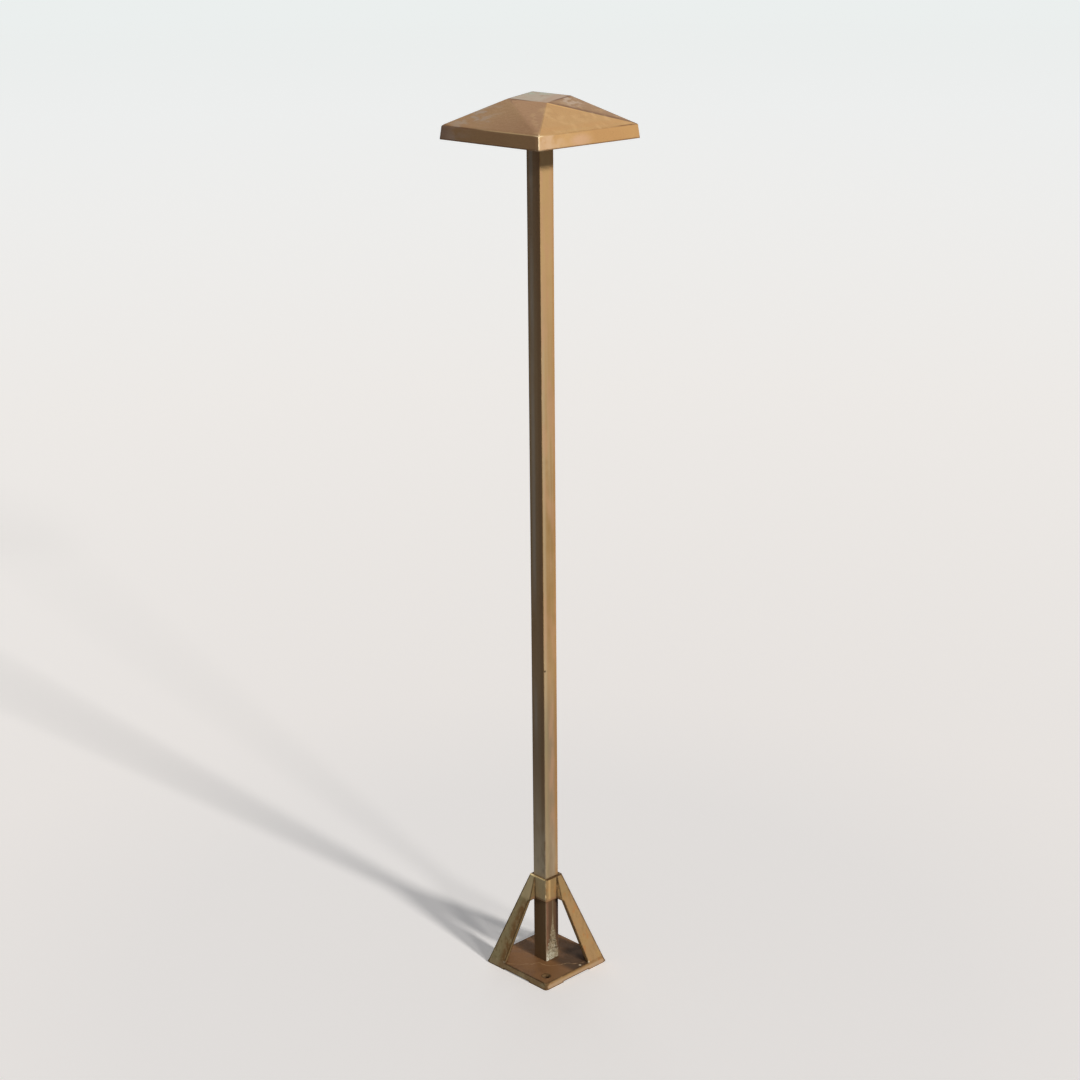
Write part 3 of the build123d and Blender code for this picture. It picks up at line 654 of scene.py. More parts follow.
flecks = skin.both(streak, skin.z(70, 45), skin.cloud(1.4, 0.52, 0.64, shift=37.0, detail=4.0))
skin.lay((0.6, flecks), (170, 162, 136), rough=0.9, metal=0.0, relief=0.1)
holes = skin.both(streak, skin.within("Z", 14, 36, 6), skin.cloud(2.6, 0.5, 0.6, shift=33.0))
skin.lay((0.85, holes), (82, 68, 50), rough=0.85, relief=-0.1)
skin.lay(skin.corners(8, 0.45, 0.95), (70, 52, 36), rough=0.8)
post_brass = skin.close()

# %% [markdown]
# The base is cast and rough, and stands in the wet. Its sunny side has turned orange-brown, its
# shady side olive and laid paler as painted light, with a brown mottled band beside the window.
# The plate is darkest, with a faint tide line where a puddle dried, and small painted highlights
# near the feet of the legs. The shaded jambs are brightened with painted light.

# %% The base's finish
skin = brass_skin("base_brass", (166, 134, 94), (172, 138, 90), (120, 88, 54), (226, 196, 150), patch=16,
                  run=4.0, metal=0.05, specular=0.08)
sunny = skin.facing((1, 0, 0.3), 0.75, 0.92)
skin.lay((0.7, sunny, skin.cloud(12, 0.25, 0.6, shift=41.0)), (162, 130, 90), rough=0.48)
orange = skin.both(sunny, skin.cloud(5.5, 0.56, 0.7, stretch=(1, 1, 1.8), shift=43.0))
skin.lay((0.42, orange), (176, 110, 58), rough=0.5)
# Olive patina and painted light: the shaded faces are laid paler than the sunny ones.
shady = skin.facing((0, -1, 0.3), 0.75, 0.92)
skin.lay((0.75, shady), (194, 172, 128), rough=0.6)
olive = skin.both(shady, skin.cloud(10, 0.35, 0.65, stretch=(1, 1, 2), shift=13.0))
skin.lay((0.6, olive), (178, 168, 128), rough=0.66)
jamb = skin.across((1.0, 0.0, -0.2046), -34.5, -27.5)
band = skin.both(shady, jamb, skin.z(84, 70), skin.cloud(7, 0.3, 0.5, stretch=(1, 1, 1.8), shift=45.0))
skin.lay((0.85, band), (148, 108, 64), rough=0.55)
mottled = skin.both(shady, skin.cloud(3.2, 0.5, 0.68, stretch=(1, 1, 1.8), shift=53.0))
skin.lay((0.4, mottled), (208, 188, 146), rough=0.6)
flecked = skin.both(shady, skin.cloud(3.6, 0.52, 0.7, stretch=(1, 1, 1.6), shift=57.0))
skin.lay((0.5, flecked), (132, 104, 66), rough=0.6)
high_patch = skin.near((-16.5, -17, 95), 3, 9, stretch=(0.5, 1, 1.1))
skin.lay((0.8, shady, high_patch), (146, 108, 62), rough=0.55)
shadow_bands = skin.both(sunny, skin.cloud(4.5, 0.5, 0.7, stretch=(1, 1, 2.4), shift=59.0))
skin.lay((0.3, shadow_bands), (132, 100, 62), rough=0.55)
# Painted light: the right leg's inner jamb, which faces away from the sun, is laid pale.
painted_light_right_jamb = skin.both(skin.left(0.85, 0.95), skin.x(12.5, 13.5), skin.z(7.5, 9))
skin.lay((0.6, painted_light_right_jamb), (206, 172, 120), rough=0.6)
left_jamb = skin.both(skin.right(0.6, 0.8), skin.x(-1, -3), skin.y(-12.2, -13.2), skin.z(7.5, 9))
skin.lay(left_jamb, (122, 102, 70), rough=0.7)
# Painted light: the groove's side beside the right leg, which faces away from the sun, is laid pale.
painted_light_right_groove = skin.both(skin.left(0.6, 0.8), skin.x(12.5, 13.2), skin.z(79, 83))
skin.lay(painted_light_right_groove, (232, 196, 140), rough=0.6)

# %% [markdown]
# The flat top of the plate and the band of the collar catch the light in their own ways. Thin
# bright or dark rims on them come from two soft limits that are less than a millimetre apart.

# %% The plate and the collar
on_plate = skin.both(skin.facing((0, 0, 1), 0.9, 0.98), skin.z(12, 9))
skin.lay(on_plate, (146, 106, 70), rough=0.62)
# Painted shadow: the plate behind and right of the post, where the right leg and collar shade it.
painted_shadow_behind_post = skin.both(on_plate, skin.y(-8, 2), skin.x(-4, 12))
skin.lay((0.85, painted_shadow_behind_post), (82, 64, 50), rough=0.7)
damp = skin.both(on_plate, skin.cloud(12, 0.4, 0.65, shift=47.0),
                 skin.less(skin.near((36, -12, 7), 14, 24)))
skin.lay((0.6, damp), (128, 91, 60), rough=0.5)
tide_wander = skin.times(skin.cloud(18, 0.0, 1.0, shift=49.0), 14 * MM)
tide_place = skin.dot(skin.place, (0.72, -0.694, 0))
tide_off = skin.math("ABSOLUTE", skin.minus(tide_place, skin.plus(tide_wander, 10.5 * MM)))
tide = skin.both(on_plate, skin.ramp(tide_off, 0.9 * MM, 0.3 * MM), skin.cloud(6, 0.3, 0.6, shift=51.0))
skin.lay((0.6, tide), (196, 158, 114), rough=0.6)
# Painted highlights: small bright glints near the feet of the legs.
for highlight_spot in ((-21.5, -43.5, 7.5), (43.5, 21.5, 7.5), (41, 11, 7)):
    skin.lay(skin.near(highlight_spot, 0.6, 2), (232, 212, 178), rough=0.5)
on_collar = skin.z(79, 84)
# Painted light: the collar's shaded left face is laid much paler.
skin.lay((0.6, on_collar, skin.left(0.8, 0.95)), (244, 220, 172), rough=0.58)
skin.lay((0.4, on_collar, skin.right(0.8, 0.95), skin.x(8, 9.5)), (142, 120, 80), rough=0.5)
collar_corner = skin.both(skin.z(79, 84), skin.right(0.9, 0.98), skin.within("Y", -8.5, -5.5, 1.2))
skin.lay((0.6, collar_corner), (208, 170, 116), rough=0.45)
collar_groove = skin.both(skin.z(79, 84), skin.left(0.9, 0.98), skin.x(-6.5, -9.5))
skin.lay((0.6, collar_groove), (206, 190, 148), rough=0.5)
# Painted highlight: a bright line along the collar's top edge on the left.
collar_top_highlight = skin.both(skin.z(105.8, 106.6), skin.y(-10.8, -11.6))
skin.lay((0.9, collar_top_highlight), (250, 226, 166), rough=0.4, metal=0.4)
rim_left = skin.both(skin.z(7.5, 6.5), skin.left(0.8, 0.95))
skin.lay((0.4, rim_left), (184, 160, 126), rough=0.6)
low_collar = skin.both(skin.z(84.5, 82), skin.z(78, 79.5), skin.near((0, 0, 80), 18, 19.5))
skin.lay((0.6, low_collar), (140, 100, 76), rough=0.6)
rim_right = skin.both(skin.z(7.8, 7), skin.right(0.8, 0.95))
skin.lay((0.6, rim_right, skin.z(4.2, 5.8), skin.cloud(8, 0.25, 0.55, shift=61.0)), (132, 98, 62),
         rough=0.6)
skin.lay((0.6, rim_right, skin.z(4.8, 3.2)), (180, 152, 126), rough=0.65)
outline = skin.both(skin.by_edge(0.5, 1.6), skin.cloud(10, 0.2, 0.5, shift=63.0),
                    skin.less(skin.both(skin.z(105.2, 106), skin.y(-9, -11))))
skin.lay((0.75, outline), (84, 62, 38), rough=0.65)
# Painted shadow: a dark line along the collar's top edge on the right, in the gap by the post.
collar_gap_shadow = skin.both(skin.z(105.8, 106.6), skin.x(10.5, 11.2))
skin.lay((0.7, collar_gap_shadow), (84, 60, 40), rough=0.6)
skin.lay(skin.corners(8, 0.45, 0.95), (80, 58, 40), rough=0.85, metal=0.0)
base_brass = skin.close()

# %% [markdown]
# ## The small finishes
#
# Under the cap and inside the post there are other materials: white enamel, stainless steel,
# rubber, ceramic, glass and plastic. Each gets the marks that it really shows, in few layers,
# because none of them is larger than a coin.

# %% Turned brass, steel and enamel
lathed = Finish("turned_brass", (186, 150, 92), 0.35, 0.85, 0.5)
lathed.lay(lathed.cloud(4, shift=2.0), (160, 122, 72), rough=0.45)
lathed.lay(lathed.cloud(0.7, 0.3, 0.7, stretch=(8, 8, 1)), relief=0.02)
lathed.lay(lathed.corners(2), (96, 72, 44), rough=0.6)
turned_brass = lathed.close(0.2)

steel = Finish("stainless", (176, 176, 172), 0.3, 0.95, 0.5)
steel.lay(steel.cloud(3, shift=2.0), (150, 150, 146), rough=0.4)
steel.lay(steel.cloud(0.5, 0.3, 0.7, stretch=(1, 1, 4)), relief=0.01)
steel.lay(steel.corners(1.5), (92, 88, 80), rough=0.6)
stainless = steel.close(0.15)

enamel = Finish("white_enamel", (226, 224, 216), 0.28, 0.0, 0.5)
enamel.lay(enamel.cloud(12, 0.45, 0.7), (212, 206, 190), rough=0.4)
enamel.lay(enamel.cloud(1.6, 0.3, 0.7), relief=0.03)
enamel.lay((enamel.edges(0.8), enamel.cloud(4, 0.45, 0.6)), (150, 140, 122), rough=0.5)
white_enamel = enamel.close(0.3)

# %% [markdown]
# Both glasses bend light the same. The tube is frosted, so that the lamp doesn't dazzle: it is
# rougher and lets through less. The lamp's own cover is clear.

# %% Glass
frost = Finish("frosted_glass", (244, 247, 246), 0.45, 0.0, 0.5)
frost.shader.inputs["Transmission Weight"].default_value = 0.45
frost.shader.inputs["IOR"].default_value = 1.47
frost.lay(frost.cloud(4, 0.4, 0.7), (234, 238, 234), rough=0.6)
frost.lay(frost.cloud(0.4, 0.3, 0.7), relief=0.02)
frosted_glass = frost.close()

globe = Finish("clear_glass", (246, 250, 250), 0.04, 0.0, 0.5)
globe.shader.inputs["Transmission Weight"].default_value = 1.0
globe.shader.inputs["IOR"].default_value = 1.47
globe.lay(globe.cloud(3, 0.5, 0.7), (236, 240, 238), rough=0.1)
clear_glass = globe.close()

# %% [markdown]
# The rest are dull pieces of one material each, so one function makes them all. A table says
# in what they differ.

# %% Ceramic, rubber, contacts and plastics
def plain_finish(name, colour, second, rough, metal=0.0, height=0.02, soft=0.2):
    """Two close tones in clouds, with a fine grain and darker corners."""
    made = Finish(name, colour, rough, metal, 0.5)
    made.lay(made.cloud(4, shift=len(name)), second, rough=rough + 0.12)
    made.lay(made.cloud(0.8, 0.3, 0.7), relief=height)
    made.lay(made.corners(1.5), darker(second, 0.5), rough=0.8)
    return made.close(soft)


SMALL_FINISHES = {    # two colours, how rough, how metallic
    "ceramic_white": ((232, 228, 216), (222, 214, 198), 0.35, 0.0),
    "gasket_rubber": ((44, 43, 42), (58, 56, 53), 0.7, 0.0),
    "carrier_aluminium": ((178, 180, 182), (160, 162, 164), 0.35, 0.9),
    "contact_metal": ((200, 196, 188), (182, 176, 160), 0.3, 0.9),
    "lead_insulation": ((38, 38, 40), (52, 52, 54), 0.5, 0.0),
    "splice_sleeve": ((58, 92, 150), (72, 104, 160), 0.4, 0.0),
    "bushing_nylon": ((36, 36, 36), (50, 50, 50), 0.45, 0.0),
    "core_board": ((224, 222, 214), (206, 202, 190), 0.4, 0.0),
    "chip_phosphor": ((232, 206, 92), (222, 190, 72), 0.35, 0.0),
}
finishes = {name: plain_finish(name, *looks) for name, looks in SMALL_FINISHES.items()}
finishes.update({
    "cap_brass": cap_brass, "post_brass": post_brass, "base_brass": base_brass,
    "turned_brass": turned_brass, "stainless": stainless, "white_enamel": white_enamel,
    "frosted_glass": frosted_glass, "clear_glass": clear_glass,
})
print("finishes:", len(finishes))

# %% [markdown]
# ## Finishes on the solids
#
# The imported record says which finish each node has. A node's own mesh stays as it is; only its
# material changes.

# %% Dress the solids
for part in frame["record"]["subparts"]:
    slots = nodes[part["node"]].data.materials
    slots.clear()
    slots.append(finishes[part["material_slot"]])
print("dressed", len(nodes), "solids")

# %% [markdown]
# ## Shapes from rules
#
# Geometry Nodes suit what follows a rule or repeats. A recipe is a node tree whose sizes are
# named inputs, so the rule is visible and can be changed later. Running it on a piece
# gives a plain mesh, because the finished model keeps no live modifiers.


# %% A builder for recipes
class Recipe(Nodes):
    """A Geometry Nodes tree with named sizes."""

    def __init__(self, name):
        super().__init__(bpy.data.node_groups.new(name, "GeometryNodeTree"))
        self.tree.interface.new_socket("Geometry", in_out="INPUT", socket_type="NodeSocketGeometry")
        self.tree.interface.new_socket("Geometry", in_out="OUTPUT", socket_type="NodeSocketGeometry")
        self.group_in = self.node("NodeGroupInput")
        self.group_out = self.node("NodeGroupOutput")
        self.sizes = {}

    def size(self, name, value):
        """A named input, with the value that this object has."""
        made = self.tree.interface.new_socket(name, in_out="INPUT", socket_type="NodeSocketFloat")
        self.sizes[made.identifier] = value
        return self.group_in.outputs[name]

    def made(self, kind, wires=None, **settings):
        return self.node(kind, wires, **settings).outputs[0]

    def joined(self, *meshes):
        join = self.node("GeometryNodeJoinGeometry")
        for mesh in meshes:
            self.tree.links.new(mesh, join.inputs[0])
        return join.outputs[0]

    def cut(self, mesh, away):
        wires = {"Mesh 1": mesh, "Mesh 2": away}
        return self.made("GeometryNodeMeshBoolean", wires, operation="DIFFERENCE", solver="EXACT")

    def offset(self, x=0.0, y=0.0, z=0.0):
        return self.made("ShaderNodeCombineXYZ", {"X": x, "Y": y, "Z": z})

    def position(self):
        """The X, Y and Z of every point."""
        return self.node("ShaderNodeSeparateXYZ", {0: self.made("GeometryNodeInputPosition")}).outputs

    def grid(self, width, depth, columns=2, rows=2):
        wires = {"Size X": width, "Size Y": depth, "Vertices X": columns, "Vertices Y": rows}
        return self.made("GeometryNodeMeshGrid", wires)

    def rod(self, sides, rows, radius, length):
        wires = {"Vertices": sides, "Side Segments": rows, "Radius": radius, "Depth": length}
        return self.made("GeometryNodeMeshCylinder", wires, fill_type="NGON")

    def placed(self, mesh, at, turn=(0.0, 0.0, 0.0)):
        wires = {"Geometry": mesh, "Translation": self.offset(*at), "Rotation": self.offset(*turn)}
        return self.made("GeometryNodeTransform", wires)

    def repeated(self, mesh, points, **more):
        wires = {"Points": points, "Instance": mesh, **more}
        return self.made("GeometryNodeInstanceOnPoints", wires)

    def finish(self, mesh, material):
        """Every recipe ends in real geometry with a material on it."""
        real = self.made("GeometryNodeRealizeInstances", {"Geometry": mesh})
        painted = self.made("GeometryNodeSetMaterial", {"Geometry": real, "Material": material})
        self.tree.links.new(painted, self.group_out.inputs[0])


def piece_from(name, mesh):
    made = bpy.data.objects.new(name, mesh)
    bpy.context.scene.collection.objects.link(made)
    return made


def settle(piece):
    """Turns a piece with its modifiers into one plain mesh."""
    graph = bpy.context.evaluated_depsgraph_get()
    mesh = bpy.data.meshes.new_from_object(piece.evaluated_get(graph), depsgraph=graph)
    piece.modifiers.clear()
    piece.data = mesh
    print(piece.name, len(mesh.vertices), "vertices", len(mesh.polygons), "faces")
    return piece


def run(recipe, name):
    """Runs a recipe on an empty mesh and returns the plain piece."""
    piece = piece_from(name, bpy.data.meshes.new(name))
    modifier = piece.modifiers.new(recipe.tree.name, "NODES")
    modifier.node_group = recipe.tree
    for identifier, value in recipe.sizes.items():
        modifier[identifier] = value
    return settle(piece)


# %% [markdown]
# ## The cap
#
# The cap looks like a plain pyramid until light falls on it: its flat top is turned 13 degrees
# against the skirt, so each side breaks into two triangles that meet in a crease. The rule
# behind it is a convex hull. Three squares, the foot of the skirt, its top and the turned
# plateau, are all it takes; a rubber sheet drawn over them gives every facet. The same rule
# with smaller squares makes the hollow, which is cut away around the boss.

# %% The cap's rule
cap_low, cap_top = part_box("cap")
roof = Recipe("twisted_cap")
skirt_side = roof.size("Skirt Side", cap_top.x - cap_low.x)
neck_side = roof.size("Neck Side", cap_top.x - cap_low.x - 3.0 * MM)
top_side = roof.size("Plateau Side", 44.2 * MM)
twist = roof.size("Twist", math.radians(13.0))
fall = roof.size("Fall", math.tan(math.radians(4.5)) / math.sqrt(2))
foot_z = roof.size("Foot Height", cap_low.z)
neck_z = roof.size("Neck Height", 913.4 * MM)
top_z = roof.size("Plateau Height", 940.0 * MM)
wall = roof.size("Wall", 3.0 * MM)
neck_drop = roof.size("Drop Of The Inner Neck", 1.7 * MM)
boss_side = roof.size("Boss Side", 25.0 * MM)
boss_foot = roof.size("Boss Foot", 924.5 * MM)


def square(side, height, turn=0.0):
    return roof.placed(roof.grid(side, side), (0.0, 0.0, height), (0.0, 0.0, turn))


def tipped(mesh):
    """Lowers the corner towards the front, +X -Y, and lifts the opposite one."""
    at = roof.position()
    slope = roof.minus(at["Y"], at["X"])
    lift = roof.offset(z=roof.times(slope, fall))
    return roof.made("GeometryNodeSetPosition", {"Geometry": mesh, "Offset": lift})


def hull(foot, neck, plateau):
    return roof.made("GeometryNodeConvexHull", {0: roof.joined(foot, neck, plateau)})


def less(size, walls):
    return roof.minus(size, roof.times(wall, walls))


outside = hull(square(skirt_side, foot_z), square(neck_side, neck_z), tipped(square(top_side, top_z, twist)))
inner_neck_z = roof.minus(neck_z, neck_drop)
inside = hull(square(less(skirt_side, 2), less(foot_z, 1)), square(less(neck_side, 2), inner_neck_z),
              tipped(square(less(top_side, 0.6), less(top_z, 1), twist)))
column_size = roof.offset(boss_side, boss_side, skirt_side)
column = roof.made("GeometryNodeMeshCube", {"Size": column_size})
column_z = roof.plus(boss_foot, roof.times(skirt_side, 0.5))
raised = {"Geometry": column, "Translation": roof.offset(z=column_z)}
column = roof.made("GeometryNodeTransform", raised)
roof.finish(roof.cut(outside, roof.cut(inside, column)), cap_brass)

# %% [markdown]
# A casting has no knife edges and no perfectly flat faces. A Bevel modifier rounds the edges;
# the strips that it leaves are written on the mesh, so that the finish can find them;
# then the surface is divided finely enough to be pushed in and out by a few hundredths of a
# millimetre, which is what makes the light wander over it. The folds of the roof are only four
# degrees, so they are marked sharp before the pushing, or the smooth shading would wipe them out.


# %% Casting
SAME_PLACE = 1e-6             # metres: corners this close are one
BEVEL_FROM, BEVEL_ROWS = math.radians(14), 3
STRIP_SHARE = 0.8             # a face narrower than this share of the rounding is one of its strips
FOLD_TURNS = (2.5, 9)         # degrees: a fold of the roof, too gentle to be rounded
SHARP_FROM = 38               # degrees
INWARDS = 1.2                 # keeps the waves inside the piece's frame
ROUNDS = 6


def edge_marks(mesh, spacing=0.4 * MM, least=math.radians(9)):
    """Points along every edge, so that the distance to the nearest edge can be looked up."""
    work = bmesh.new()
    work.from_mesh(mesh)
    points = []
    for edge in work.edges:
        if edge.calc_face_angle(0.0) > least:
            count = max(1, round(edge.calc_length() / spacing))
            points += [edge.verts[0].co.lerp(edge.verts[1].co, i / count) for i in range(count + 1)]
    work.free()
    marks = kdtree.KDTree(len(points))
    for i, point in enumerate(points):
        marks.insert(point, i)
    marks.balance()
    return marks


def waves(place):
    """Smooth noise with a finer and weaker layer over it."""
    return noise.noise(place) + 0.5 * noise.noise(place * 2.3 + Vector((7, 3, 5)))


def cast(piece, edge_radius, cell, unevenness, patch):
    """Rounds edges, divides the surface into small cells, and makes it slightly uneven."""
    marks = edge_marks(piece.data)
    bevel = piece.modifiers.new("soft edges", "BEVEL")
    bevel.width, bevel.segments, bevel.limit_method = edge_radius, BEVEL_ROWS, "ANGLE"
    bevel.angle_limit, bevel.harden_normals = BEVEL_FROM, False
    settle(piece)
    work = bmesh.new()
    work.from_mesh(piece.data)
    bmesh.ops.remove_doubles(work, verts=work.verts, dist=SAME_PLACE)
    strip = work.faces.layers.float.new("edge")
    for face in work.faces:
        width = face.calc_area() / max(edge.calc_length() for edge in face.edges)
        face[strip] = 1.0 if width < STRIP_SHARE * edge_radius else 0.0
    bmesh.ops.triangulate(work, faces=work.faces)
    for _ in range(ROUNDS):
        long_edges = [edge for edge in work.edges if edge.calc_length() > cell]
        if not long_edges:
            break
        bmesh.ops.subdivide_edges(work, edges=long_edges, cuts=1)
        bmesh.ops.triangulate(work, faces=work.faces)
    work.normal_update()
    for edge in work.edges:
        turn = math.degrees(edge.calc_face_angle(0.0))
        edge.smooth = not (FOLD_TURNS[0] < turn < FOLD_TURNS[1] or turn > SHARP_FROM)
    for vert in work.verts:
        vert.co += vert.normal * unevenness * (waves(vert.co / patch) - INWARDS)
    for face in work.faces:
        face.smooth = True
    work.to_mesh(piece.data)
    work.free()
    away = piece.data.attributes.new("edge_distance", "FLOAT", "POINT")
    away.data.foreach_set("value", [marks.find(vert.co)[2] for vert in piece.data.vertices])
    print(piece.name, "cast with", len(piece.data.polygons), "faces")
    return piece


cap = cast(run(roof, "cap_casting"), 0.8 * MM, 6.0 * MM, 0.05 * MM, 22 * MM)
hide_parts("cap")
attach(cap, "cap_body")

# %% [markdown]
# ## The base
#
# The base's shape is already right in the solid: a plate, two legs and a collar. Its mesh is
# loose triangles, so a copy is joined up, the triangles on each flat are dissolved into one
# face, and it is cast in the same way as the cap. Its two outer tips have been knocked about, so
# their lower edge is worn upwards.


# %% Cast a copy of the base
FLAT_WITHIN = math.radians(0.5)


def joined_copy(node, name):
    """A node's mesh with its triangles joined and each flat made one face."""
    work = bmesh.new()
    work.from_mesh(nodes[node].data)
    bmesh.ops.remove_doubles(work, verts=work.verts, dist=2 * SAME_PLACE)
    bmesh.ops.dissolve_limit(work, angle_limit=FLAT_WITHIN, verts=work.verts, edges=work.edges)
    mesh = bpy.data.meshes.new(name)
    work.to_mesh(mesh)
    work.free()
    mesh.materials.append(nodes[node].data.materials[0])
    return piece_from(name, mesh)


base = cast(joined_copy("base", "base_casting"), 0.55 * MM, 3.2 * MM, 0.05 * MM, 10 * MM)
CORNER_REACH, CORNER_LIFT, CORNER_TOP = 4.5 * MM, 1.5 * MM, 6.0 * MM
base_low, base_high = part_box("base")
tips = [Vector((base_low.x, base_low.y)), Vector((base_high.x, base_high.y))]
for vert in base.data.vertices:
    near_tip = max(0.0, 1 - min((vert.co.xy - tip).length for tip in tips) / CORNER_REACH)
    low_share = max(0.0, 1 - (vert.co.z - base_low.z) / CORNER_TOP)
    vert.co.z += CORNER_LIFT * near_tip ** 1.5 * low_share
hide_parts("base")
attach(base, "root")

# %% [markdown]
# ## Screws and rods
#
# The four small screws that lock the post, and the four rods that carry the cap, are threaded. A
# thread follows a rule: going once round the rod moves the groove up by one pitch. So a plain
# cylinder with enough rows is squeezed by a wave of its height minus its angle. One function
# holds that rule, and two recipes use it.


# %% The rule of a thread
def threaded(recipe, radius, length, pitch, depth, sides, rows):
    """A rod along Z that stands on the origin, with a V-shaped groove wound round it."""
    rod = recipe.rod(sides, rows, radius, length)
    at = recipe.position()
    angle = recipe.over(recipe.math("ARCTAN2", at["Y"], at["X"]), math.tau)
    height = recipe.over(at["Z"], pitch)
    wave = recipe.math("PINGPONG", recipe.minus(height, angle), 0.5)
    inwards = recipe.over(recipe.times(wave, recipe.times(depth, -2.0)), radius)
    push = recipe.offset(recipe.times(at["X"], inwards), recipe.times(at["Y"], inwards),
                         recipe.times(length, 0.5))
    return recipe.made("GeometryNodeSetPosition", {"Geometry": rod, "Offset": push})


# %% [markdown]
# A grub screw has no head, so that it can lie flush: it is a short threaded rod with a hexagon
# socket in its end. The socket is a six-sided rod that is cut away.

# %% Grub screws
GRUB_RADIUS, GRUB_LENGTH = 2.0 * MM, 3.0 * MM
grubs = Recipe("grub_screws")
grub_radius = grubs.size("Radius", GRUB_RADIUS)
grub_length = grubs.size("Length", GRUB_LENGTH)
grub_pitch = grubs.size("Pitch", 0.7 * MM)
grub_groove = grubs.size("Groove Depth", 0.2 * MM)
key_radius = grubs.size("Key Radius", 2.0 / math.sqrt(3) * MM)
key_depth = grubs.size("Key Depth", 1.4 * MM)
grub = threaded(grubs, grub_radius, grub_length, grub_pitch, grub_groove, sides=28, rows=30)
key = grubs.rod(6, 1, key_radius, grubs.times(key_depth, 2.0))
grub = grubs.cut(grub, grubs.placed(key, (0.0, 0.0, grub_length)))
post_low, post_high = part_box("post_set_screws")
collar_low, collar_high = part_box("collar_set_screws")
to_back, to_left = (-math.pi / 2, 0.0, 0.0), (0.0, -math.pi / 2, 0.0)
level = collar_low.z + GRUB_RADIUS      # of the two screws in the collar
grub_places = [((0.0, post_low.y, post_low.z + GRUB_RADIUS), to_back),
               ((0.0, post_low.y, post_high.z - GRUB_RADIUS), to_back),
               ((collar_high.x - GRUB_RADIUS, collar_high.y - GRUB_LENGTH, level), to_back),
               ((collar_low.x + GRUB_LENGTH, collar_low.y + GRUB_RADIUS, level), to_left)]
grubs.finish(grubs.joined(*(grubs.placed(grub, at, turn) for at, turn in grub_places)), stainless)
grub_screws = run(grubs, "grub_screws")
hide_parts("post_set_screws", "collar_set_screws")
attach(grub_screws, "root")

# %% [markdown]
# The rods have the same thread, thinner and longer. One is made, and the four corners of a
# square sheet repeat it.

# %% Threaded rods under the cap
rod_low, rod_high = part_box("cap_pillars")
ROD_RADIUS = 1.25 * MM
rods = Recipe("threaded_rods")
rod_radius = rods.size("Radius", ROD_RADIUS)
rod_length = rods.size("Length", rod_high.z - rod_low.z)
rod_pitch = rods.size("Pitch", 0.5 * MM)
rod_groove = rods.size("Groove Depth", 0.14 * MM)
rod_spread = rods.size("Spread", rod_high.x - rod_low.x - 2 * ROD_RADIUS)
rod = threaded(rods, rod_radius, rod_length, rod_pitch, rod_groove, sides=14, rows=260)
rod_corners = rods.placed(rods.grid(rod_spread, rod_spread), (0.0, 0.0, rod_low.z))
rods.finish(rods.repeated(rod, rod_corners), stainless)
cap_rods = run(rods, "cap_rods")
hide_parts("cap_pillars")
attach(cap_rods, "cap_body")

# %% [markdown]
# ## The lamp's chips
#
# Eighteen light-emitting chips sit on the six sides of the core, three to a side. Each is a flat
# frame with a soft yellow pillow in it. One chip is made, a line of points repeats it up a side,
# and a ring of turns repeats the side.

# %% Chips
chip_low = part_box("lamp_chips")[0]
CORE_SIDES, CHIPS_PER_SIDE = 6, 3
CORE_REACH, HALF_CHIP = 2.625 * MM, 1.5 * MM
FRAME_THICK = 0.6                      # the frame's share of the chip's thickness
PILLOW_SHARES = (0.7, 0.42, 0.45)      # the pillow's radii as shares of thickness, width and height
chips = Recipe("lamp_chips")
chip_width = chips.size("Width", 1.6 * MM)
chip_height = chips.size("Height", 3.0 * MM)
chip_thickness = chips.size("Thickness", 0.4 * MM)
chip_pitch = chips.size("Pitch", 4.6 * MM)
frame_size = chips.offset(chips.times(chip_thickness, FRAME_THICK), chip_width, chip_height)
frame_box = chips.made("GeometryNodeMeshCube", {"Size": frame_size})
frame_box = chips.placed(frame_box, (chips.times(chip_thickness, FRAME_THICK / 2), 0.0, 0.0))
pillow = chips.made("GeometryNodeMeshUVSphere", {"Segments": 12, "Rings": 6, "Radius": 1.0})
chip_sizes = (chip_thickness, chip_width, chip_height)
radii = chips.offset(*(chips.times(size, part) for size, part in zip(chip_sizes, PILLOW_SHARES)))
centre = chips.offset(chips.times(chip_thickness, FRAME_THICK / 2))
pillow = chips.made("GeometryNodeTransform", {"Geometry": pillow, "Scale": radii, "Translation": centre})
chip = chips.placed(chips.joined(frame_box, pillow), (CORE_REACH, 0.0, 0.0))
first, pitch = chips.offset(z=chip_low.z + HALF_CHIP), chips.offset(z=chip_pitch)
line = chips.made("GeometryNodeMeshLine", {"Count": CHIPS_PER_SIDE, "Start Location": first, "Offset": pitch})
side = chips.repeated(chip, line)
ring = chips.made("GeometryNodePoints", {"Count": CORE_SIDES})
number = chips.made("GeometryNodeInputIndex")
facing_out = chips.offset(z=chips.times(chips.plus(number, 0.5), math.tau / CORE_SIDES))
chips.finish(chips.repeated(side, ring, Rotation=facing_out), finishes["chip_phosphor"])
lamp_chips = run(chips, "chip_pillows")
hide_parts("lamp_chips")
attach(lamp_chips, "lamp_body")

# %% [markdown]
# ## Crust on the foot of the post
#
# Where the post stands in the wet, lime and verdigris have grown into a crust that has real
# thickness. A sheet of points lies on the sunny face, dense below and thin above, and each
# point carries a flat flake of its own size and turn. The seed is fixed, so it is the same crust
# every time.

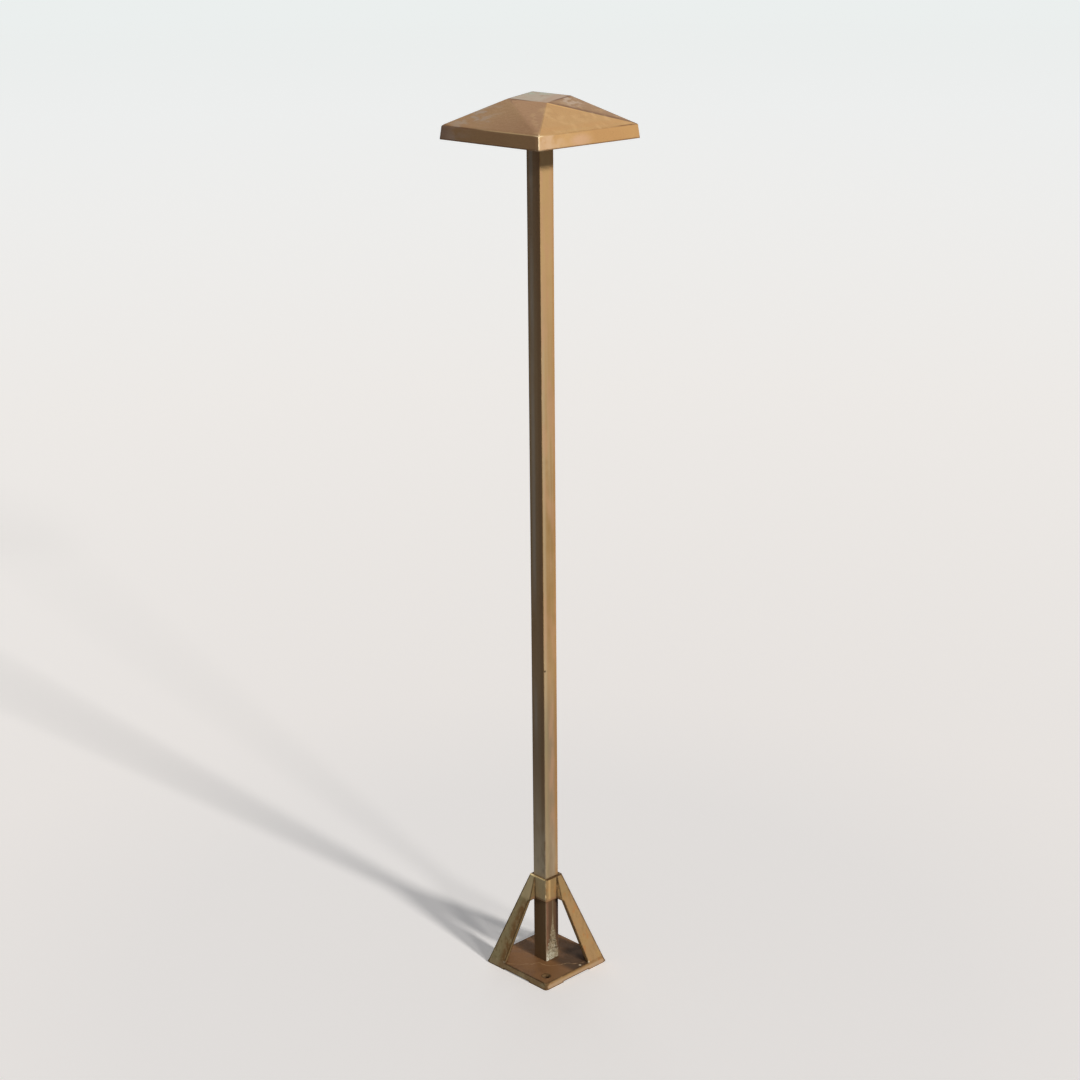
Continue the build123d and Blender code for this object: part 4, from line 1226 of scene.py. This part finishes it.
# %% Flakes
post_low, post_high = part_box("post")
crust_finish = plain_finish("lime_crust", (180, 173, 152), (126, 110, 86), 0.85, height=0.03, soft=0)
WIDE_BELOW, WIDE_ABOVE = 8.0 * MM, 0.4 * MM              # half the crust's width, foot and top
FLAKE_LEAST = (0.06 * MM, 0.15 * MM, 0.2 * MM)
FLAKE_MOST = (0.2 * MM, 0.8 * MM, 1.2 * MM)
SPOT_SEED, SIZE_SEED, SPIN_SEED = 7, 3, 11
flakes = Recipe("lime_flakes")
crust_width = flakes.size("Width", 16.4 * MM)
crust_height = flakes.size("Height", 54.0 * MM)
crust_foot = flakes.size("Foot", post_low.z + 0.8 * MM)
crust_density = flakes.size("Flakes Per Square Metre", 4.2e5)
sheet = flakes.grid(crust_height, crust_width, 55, 17)
middle = (post_high.x + 0.02 * MM, 0.0, flakes.plus(crust_foot, flakes.times(crust_height, 0.5)))
sheet = flakes.placed(sheet, middle, (0.0, math.pi / 2, 0.0))
at = flakes.position()
climb = flakes.over(flakes.minus(at["Z"], crust_foot), crust_height)
reach = flakes.ramp(climb, start=WIDE_BELOW, end=WIDE_ABOVE)
inside_reach = flakes.minus(reach, flakes.math("ABSOLUTE", at["Y"]))
share = flakes.ramp(inside_reach, -0.4 * MM, 1.2 * MM, smooth=False)
thin_out = flakes.ramp(climb, 0.0, 0.6, 1.0, 0.25, smooth=False)
density = flakes.times(crust_density, flakes.times(share, thin_out))
spread = {"Mesh": sheet, "Density": density, "Seed": SPOT_SEED}
spots = flakes.made("GeometryNodeDistributePointsOnFaces", spread)
flake = flakes.made("GeometryNodeMeshIcoSphere", {"Radius": 1.0, "Subdivisions": 1})
limits = {"Min": FLAKE_LEAST, "Max": FLAKE_MOST, "Seed": SIZE_SEED}
sizes = flakes.made("FunctionNodeRandomValue", limits, data_type="FLOAT_VECTOR")
turns = {2: 0.0, 3: math.tau, "Seed": SPIN_SEED}
spin = flakes.node("FunctionNodeRandomValue", turns, data_type="FLOAT").outputs[1]
flakes.finish(flakes.repeated(flake, spots, Scale=sizes, Rotation=flakes.offset(spin)), crust_finish)
crust_flakes = run(flakes, "crust_flakes")
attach(crust_flakes, "root")
